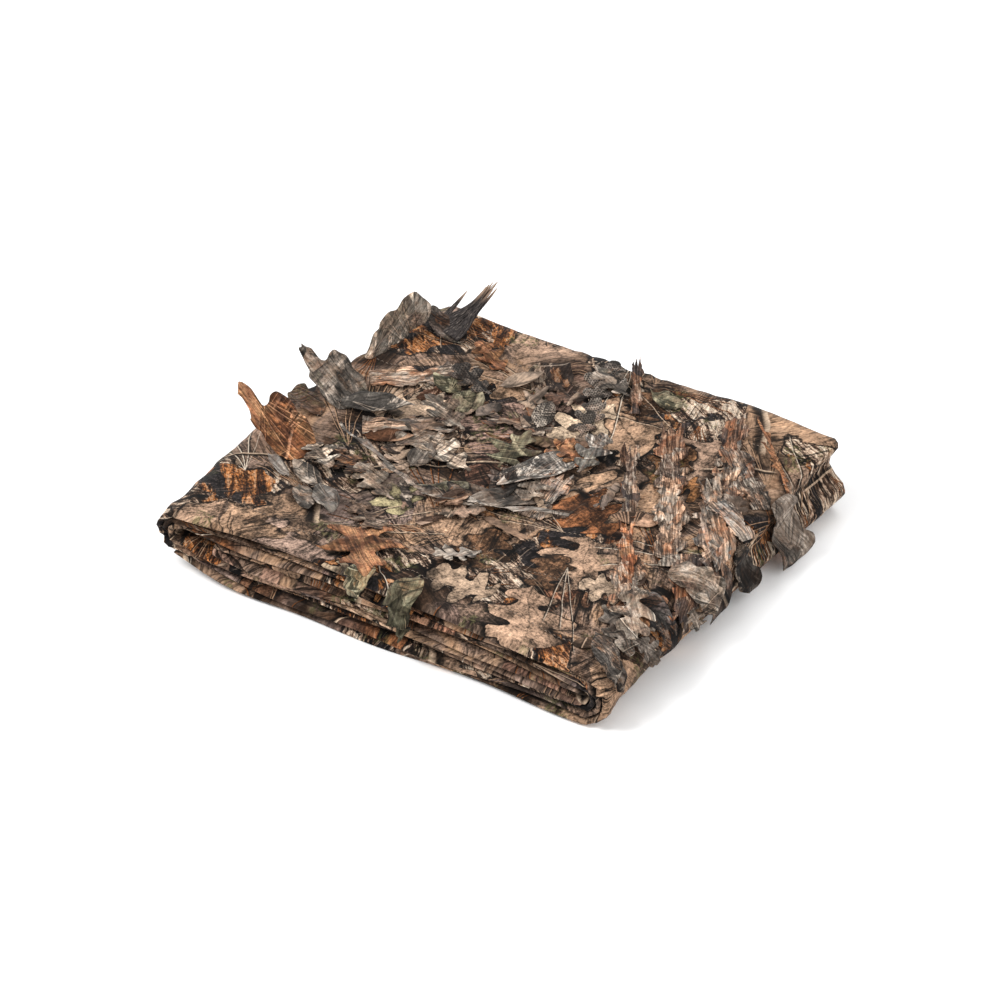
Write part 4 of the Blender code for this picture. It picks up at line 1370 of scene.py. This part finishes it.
def litter_material():
    """The print again, from another place in it and in another tone for each scrap."""
    material, g = new_material("litter_cloth", Roughness=0.87, Specular_IOR_Level=0.10)
    number = g.add("ShaderNodeAttribute", attribute_name="scrap_number")["Fac"]
    flat = g.uv("flat_cloth")
    jump = g.xyz(number * 5.3, number * 9.7)
    camo = g.group(camo_print, Vector=g.vector("ADD", flat, jump))["Color"]
    tone = g.ramp(number, [
        (0.0, MID_BROWN), (0.25, TAN), (0.5, GREY), (0.65, PALE_TAN), (0.85, RUST),
        (1.0, DARK_BROWN),
    ])
    colour = g.mix(0.5, camo, g.shade(tone, print_light(g, camo)))
    threads = g.group(weave, Vector=flat)[0]
    g.give({"Base Color": colour, "Normal": g.bump(threads, 0.3, 0.0005)})
    return material


def scrap_object(scrap, chance):
    """One small scrap at the origin, its tip a little up."""
    return new_object("scrap", flap_mesh(
        "scrap", outline_of(scrap.outline, chance), scrap.length, scrap.width / 2,
        lambda along, across: np.stack([
            along * scrap.length, across * scrap.width / 2,
            scrap.rise * np.abs(along) ** 1.5 + CUP * scrap.width * across**2,
        ], axis=-1), chance,
    ))


def litter_ground():
    """The cloth's upper face and nose as a grid, with how much litter lies on each place."""
    xs, ys = np.arange(*LITTER_X, LITTER_GRID), np.arange(*LITTER_Y, LITTER_GRID)
    x, y = (values.ravel() for values in np.meshgrid(xs, ys))
    mesh = bpy.data.meshes.new("litter_ground")
    places = over_cloth(x, y, np.full(x.shape, LITTER_GAP))
    mesh.from_pydata(places.tolist(), [], grid_quads(len(ys), len(xs)))
    share = sum(bell(x - s.x, s.reach_x) * bell(y - s.y, s.reach_y) for s in LITTER_SPOTS)
    for flap in LAID_FLAPS + TWIGS:
        cos, sin = pointing(flap.heading)
        off = np.hypot(x - flap.x - cos * flap.length / 2, y - flap.y - sin * flap.length / 2)
        share = share * (1 - KEPT_CLEAR * bell(off, flap.length / 2))
    attribute = mesh.attributes.new("litter", "FLOAT", "POINT")
    attribute.data.foreach_set("value", np.minimum(share, 1.0))
    return mesh


scrap_chance = np.random.default_rng(31)
scrap_helpers = [scrap_object(scrap, scrap_chance) for scrap in SCRAPS]
litter_values = {
    "Density": LITTER_PER_SQUARE_METRE, "Smallest": LITTER_SIZES[0], "Largest": LITTER_SIZES[1],
    "Seed": 4, "Cloth": litter_material(),
}
litter_values.update({f"Scrap{i}": helper for i, helper in enumerate(scrap_helpers)})
litter = baked("litter_scraps", litter_ground(), litter_tree(len(SCRAPS)), litter_values,
               scrap_helpers)
finish_piece(litter, FLAP_THICK)


# The sewing: long running stitches hold the leafy cloth to its backing, and a short bar of
# stitches holds the root of each cut-out. Geometry Nodes lay one stitch again and again.
STITCH_PITCH = 0.0042
STITCH_LENGTH = 0.0029
THREAD_THICK = 0.00055
STITCH_RINGS = 5
STITCH_SIDES = 6
LINE_GAP = 0.0004
LINE_STEP = 0.004
SEWN_LINES_Y = (-0.149, -0.094, -0.036, 0.022, 0.080, 0.136)
SEWN_FROM, SEWN_TO = -0.175, 0.215
LINE_WANDER = 0.0015
BAR_SHARE = 0.45
BAR_AT = 0.07
BAR_POINTS = 4
PALE_THREAD = (0.20, 0.15, 0.11, 1)


def stitch_object():
    """One stitch: a short thread, thinner at its ends, where it dips into the cloth."""
    work = bmesh.new()
    rings = []
    for i in range(STITCH_RINGS):
        t = i / (STITCH_RINGS - 1)
        swell = math.sin(math.pi * t)
        radius = THREAD_THICK / 2 * (0.5 + 0.5 * swell)
        ring = []
        for side in range(STITCH_SIDES):
            angle = 2 * math.pi * side / STITCH_SIDES
            y = radius * math.cos(angle)
            z = radius * math.sin(angle) + THREAD_THICK * (1.2 * swell - 0.5)
            ring.append(work.verts.new(((t - 0.5) * STITCH_LENGTH, y, z)))
        rings.append(ring)
    for one, other in zip(rings, rings[1:]):
        for side in range(STITCH_SIDES):
            after = (side + 1) % STITCH_SIDES
            work.faces.new((one[side], one[after], other[after], other[side]))
    work.faces.new(rings[0])
    work.faces.new(rings[-1])
    bmesh.ops.recalc_face_normals(work, faces=work.faces)
    mesh = bpy.data.meshes.new("stitch")
    work.to_mesh(mesh)
    work.free()
    mesh.shade_smooth()
    return new_object("stitch", mesh)


def sewn_lines():
    """All lines of stitching as one mesh of edges, with the way up at each of its points."""
    lines = []
    for y in SEWN_LINES_Y:
        x = np.arange(SEWN_FROM, SEWN_TO, LINE_STEP)
        wander = y + LINE_WANDER * np.sin(31 * x + 40 * y) + LINE_WANDER * np.sin(77 * x)
        lines.append((x, wander, np.full(x.shape, LINE_GAP)))
    for flap in LAID_FLAPS + SMALL_FLAPS:
        cos, sin = pointing(flap.heading)
        across = np.linspace(-1, 1, BAR_POINTS) * flap.width / 2 * BAR_SHARE
        x = flap.x + cos * flap.length * BAR_AT - sin * across
        y = flap.y + sin * flap.length * BAR_AT + cos * across
        lines.append((x, y, np.full(x.shape, FLAP_GAP + flap.tier * TIER + FLAP_THICK)))
    places, ups, edges = [], [], []
    for x, y, gap in lines:
        low, high = over_cloth(x, y, gap), over_cloth(x, y, gap + LINE_STEP)
        edges += [(len(places) + i, len(places) + i + 1) for i in range(len(low) - 1)]
        places += low.tolist()
        ups += (high - low).tolist()
    mesh = bpy.data.meshes.new("sewn_lines")
    mesh.from_pydata(places, edges, [])
    attribute = mesh.attributes.new("way_up", "FLOAT_VECTOR", "POINT")
    attribute.data.foreach_set("vector", np.ravel(ups))
    return mesh


def stitch_tree():
    """One stitch at every pitch along the lines, lying along them."""
    g, (lines, pitch, stitch, thread) = node_tree(
        "running stitch", "Lines Pitch Stitch Thread", "Geometry", "GeometryNodeTree")
    curves = g.add("GeometryNodeMeshToCurve", {0: lines})[0]
    dots = g.add("GeometryNodeResampleCurve", {"Curve": curves, "Length": pitch}, mode="LENGTH")[0]
    up = g.named("way_up", "FLOAT_VECTOR")
    upright = g.add("FunctionNodeAlignRotationToVector", {"Vector": up}, axis="Z")[0]
    turn = g.add("FunctionNodeAlignRotationToVector", {
        "Rotation": upright, "Vector": g.add("GeometryNodeInputTangent")[0],
    }, axis="X", pivot_axis="Z")[0]
    one = g.add("GeometryNodeObjectInfo", {"Object": stitch, "As Instance": True})
    g.lay(dots, one["Geometry"], thread, Rotation=turn)
    return g.tree


thread_cloth, g = new_material("sewing_thread", Roughness=0.55)
twist = g.noise(g.add("ShaderNodeTexCoord")["Object"], 900.0, 2.0, space="3D")
thread_tone = g.ramp(twist, [(0.35, DARK_BROWN), (0.55, PALE_THREAD), (0.70, TAN)])
g.give({"Base Color": thread_tone, "Normal": g.bump(twist, 0.4, 0.0002)})
one_stitch = stitch_object()
stitch_values = {"Pitch": STITCH_PITCH, "Stitch": one_stitch, "Thread": thread_cloth}
sewing = baked("sewing_thread", sewn_lines(), stitch_tree(), stitch_values, [one_stitch])
finish_piece(sewing)


# The tuft: a strip of dark cloth slit into thin blades from its tip nearly to its root. They
# stand up in one bundle, drawn in at the middle, with uneven ends. One blade strays.
TUFT = flaps("edge_tuft tuft dark -158 136 75 63 36 26 2")[0]
BLADES = 17
BLADE_ROWS = 12
BLADE_WIDTH = 0.0050
THIN_SHARE = 0.30
BLADE_THICK = 0.0005
BLADE_SWAY = 0.0006
BLADE_DEPTH = 0.0030
WAIST_SHARE = 0.62
ROOT_SPREAD, WAIST_NARROWED = 0.90, 0.62
STRAY = BLADES - 2
STRAY_LENGTH, STRAY_SPREAD = 0.66, 0.92


def tuft_mesh(tuft, chance):
    cos, sin = pointing(tuft.heading)
    ahead, sideways = np.array([cos, sin, 0.0]), np.array([-sin, cos, 0.0])
    root = over_cloth(np.array(tuft.x), np.array(tuft.y), np.array(0.0))
    reach = math.sqrt(tuft.length**2 - tuft.rise**2)
    places, quads, in_shares = [], [], []
    for blade in range(BLADES):
        across = 2 * blade / (BLADES - 1) - 1
        thin = blade % 2 == 0
        long = 1.0 - 0.10 * abs(across) - chance.uniform(0.0, 0.08 if thin else 0.22)
        if blade == STRAY:
            long = STRAY_LENGTH
        lean = chance.uniform(-0.10, 0.16)
        depth = chance.uniform(-1, 1)
        sway = chance.uniform(0, 6.3)
        for row in range(BLADE_ROWS + 1):
            t = row / BLADE_ROWS
            along = long * t
            spread = ROOT_SPREAD - WAIST_NARROWED * float(smooth(0.0, WAIST_SHARE, along))
            if blade == STRAY:
                spread = STRAY_SPREAD
            middle = (across * spread + lean * t * t) * tuft.width / 2
            middle += BLADE_SWAY * math.sin(sway + 5 * t) * t
            lift = tuft.rise * along**1.5 + tuft.tier * TIER + depth * BLADE_DEPTH * t + FLAP_GAP
            half = BLADE_WIDTH / 2 * (1.20 - 1.12 * t**2.6) * (THIN_SHARE if thin else 1.0)
            for side in (-1, 1):
                flat = ahead * reach * along + sideways * (middle + side * half)
                places.append(root + flat + np.array([0.0, 0.0, lift]))
                in_shares.append((t, side * 0.5 + blade))
            if row:
                last = len(places) - 1
                quads.append((last - 3, last - 2, last, last - 1))
    mesh = bpy.data.meshes.new("edge_tuft_blades")
    mesh.from_pydata([tuple(p) for p in places], [], quads)
    set_uv(mesh, "leaf_place", np.array(in_shares))
    mesh.shade_smooth()
    return mesh


blade_cloth, g = new_material("dark_blades", Roughness=0.8, Specular_IOR_Level=0.15)
place = g.uv("leaf_place")
streaks = g.noise(g.vector("MULTIPLY", place, (3.0, 2.3, 1.0)), 3.0, 4.0, 0.7)
blade_tone = g.ramp(streaks, [
    (0.40, ALMOST_BLACK), (0.54, CHARCOAL), (0.64, (0.09, 0.072, 0.062, 1)),
    (0.74, (0.30, 0.26, 0.22, 1)),
])
blade_tone = g.mix(g.step(g.split(place)[0], 0.70, 1.0) * 0.75, blade_tone, TAN)
g.give({"Base Color": blade_tone, "Normal": g.bump(streaks, 0.3, 0.0004)})
tuft = new_object("edge_tuft_blades", tuft_mesh(TUFT, np.random.default_rng(3)))
tuft.data.materials.append(blade_cloth)
finish_piece(tuft, BLADE_THICK, "edge_tuft")
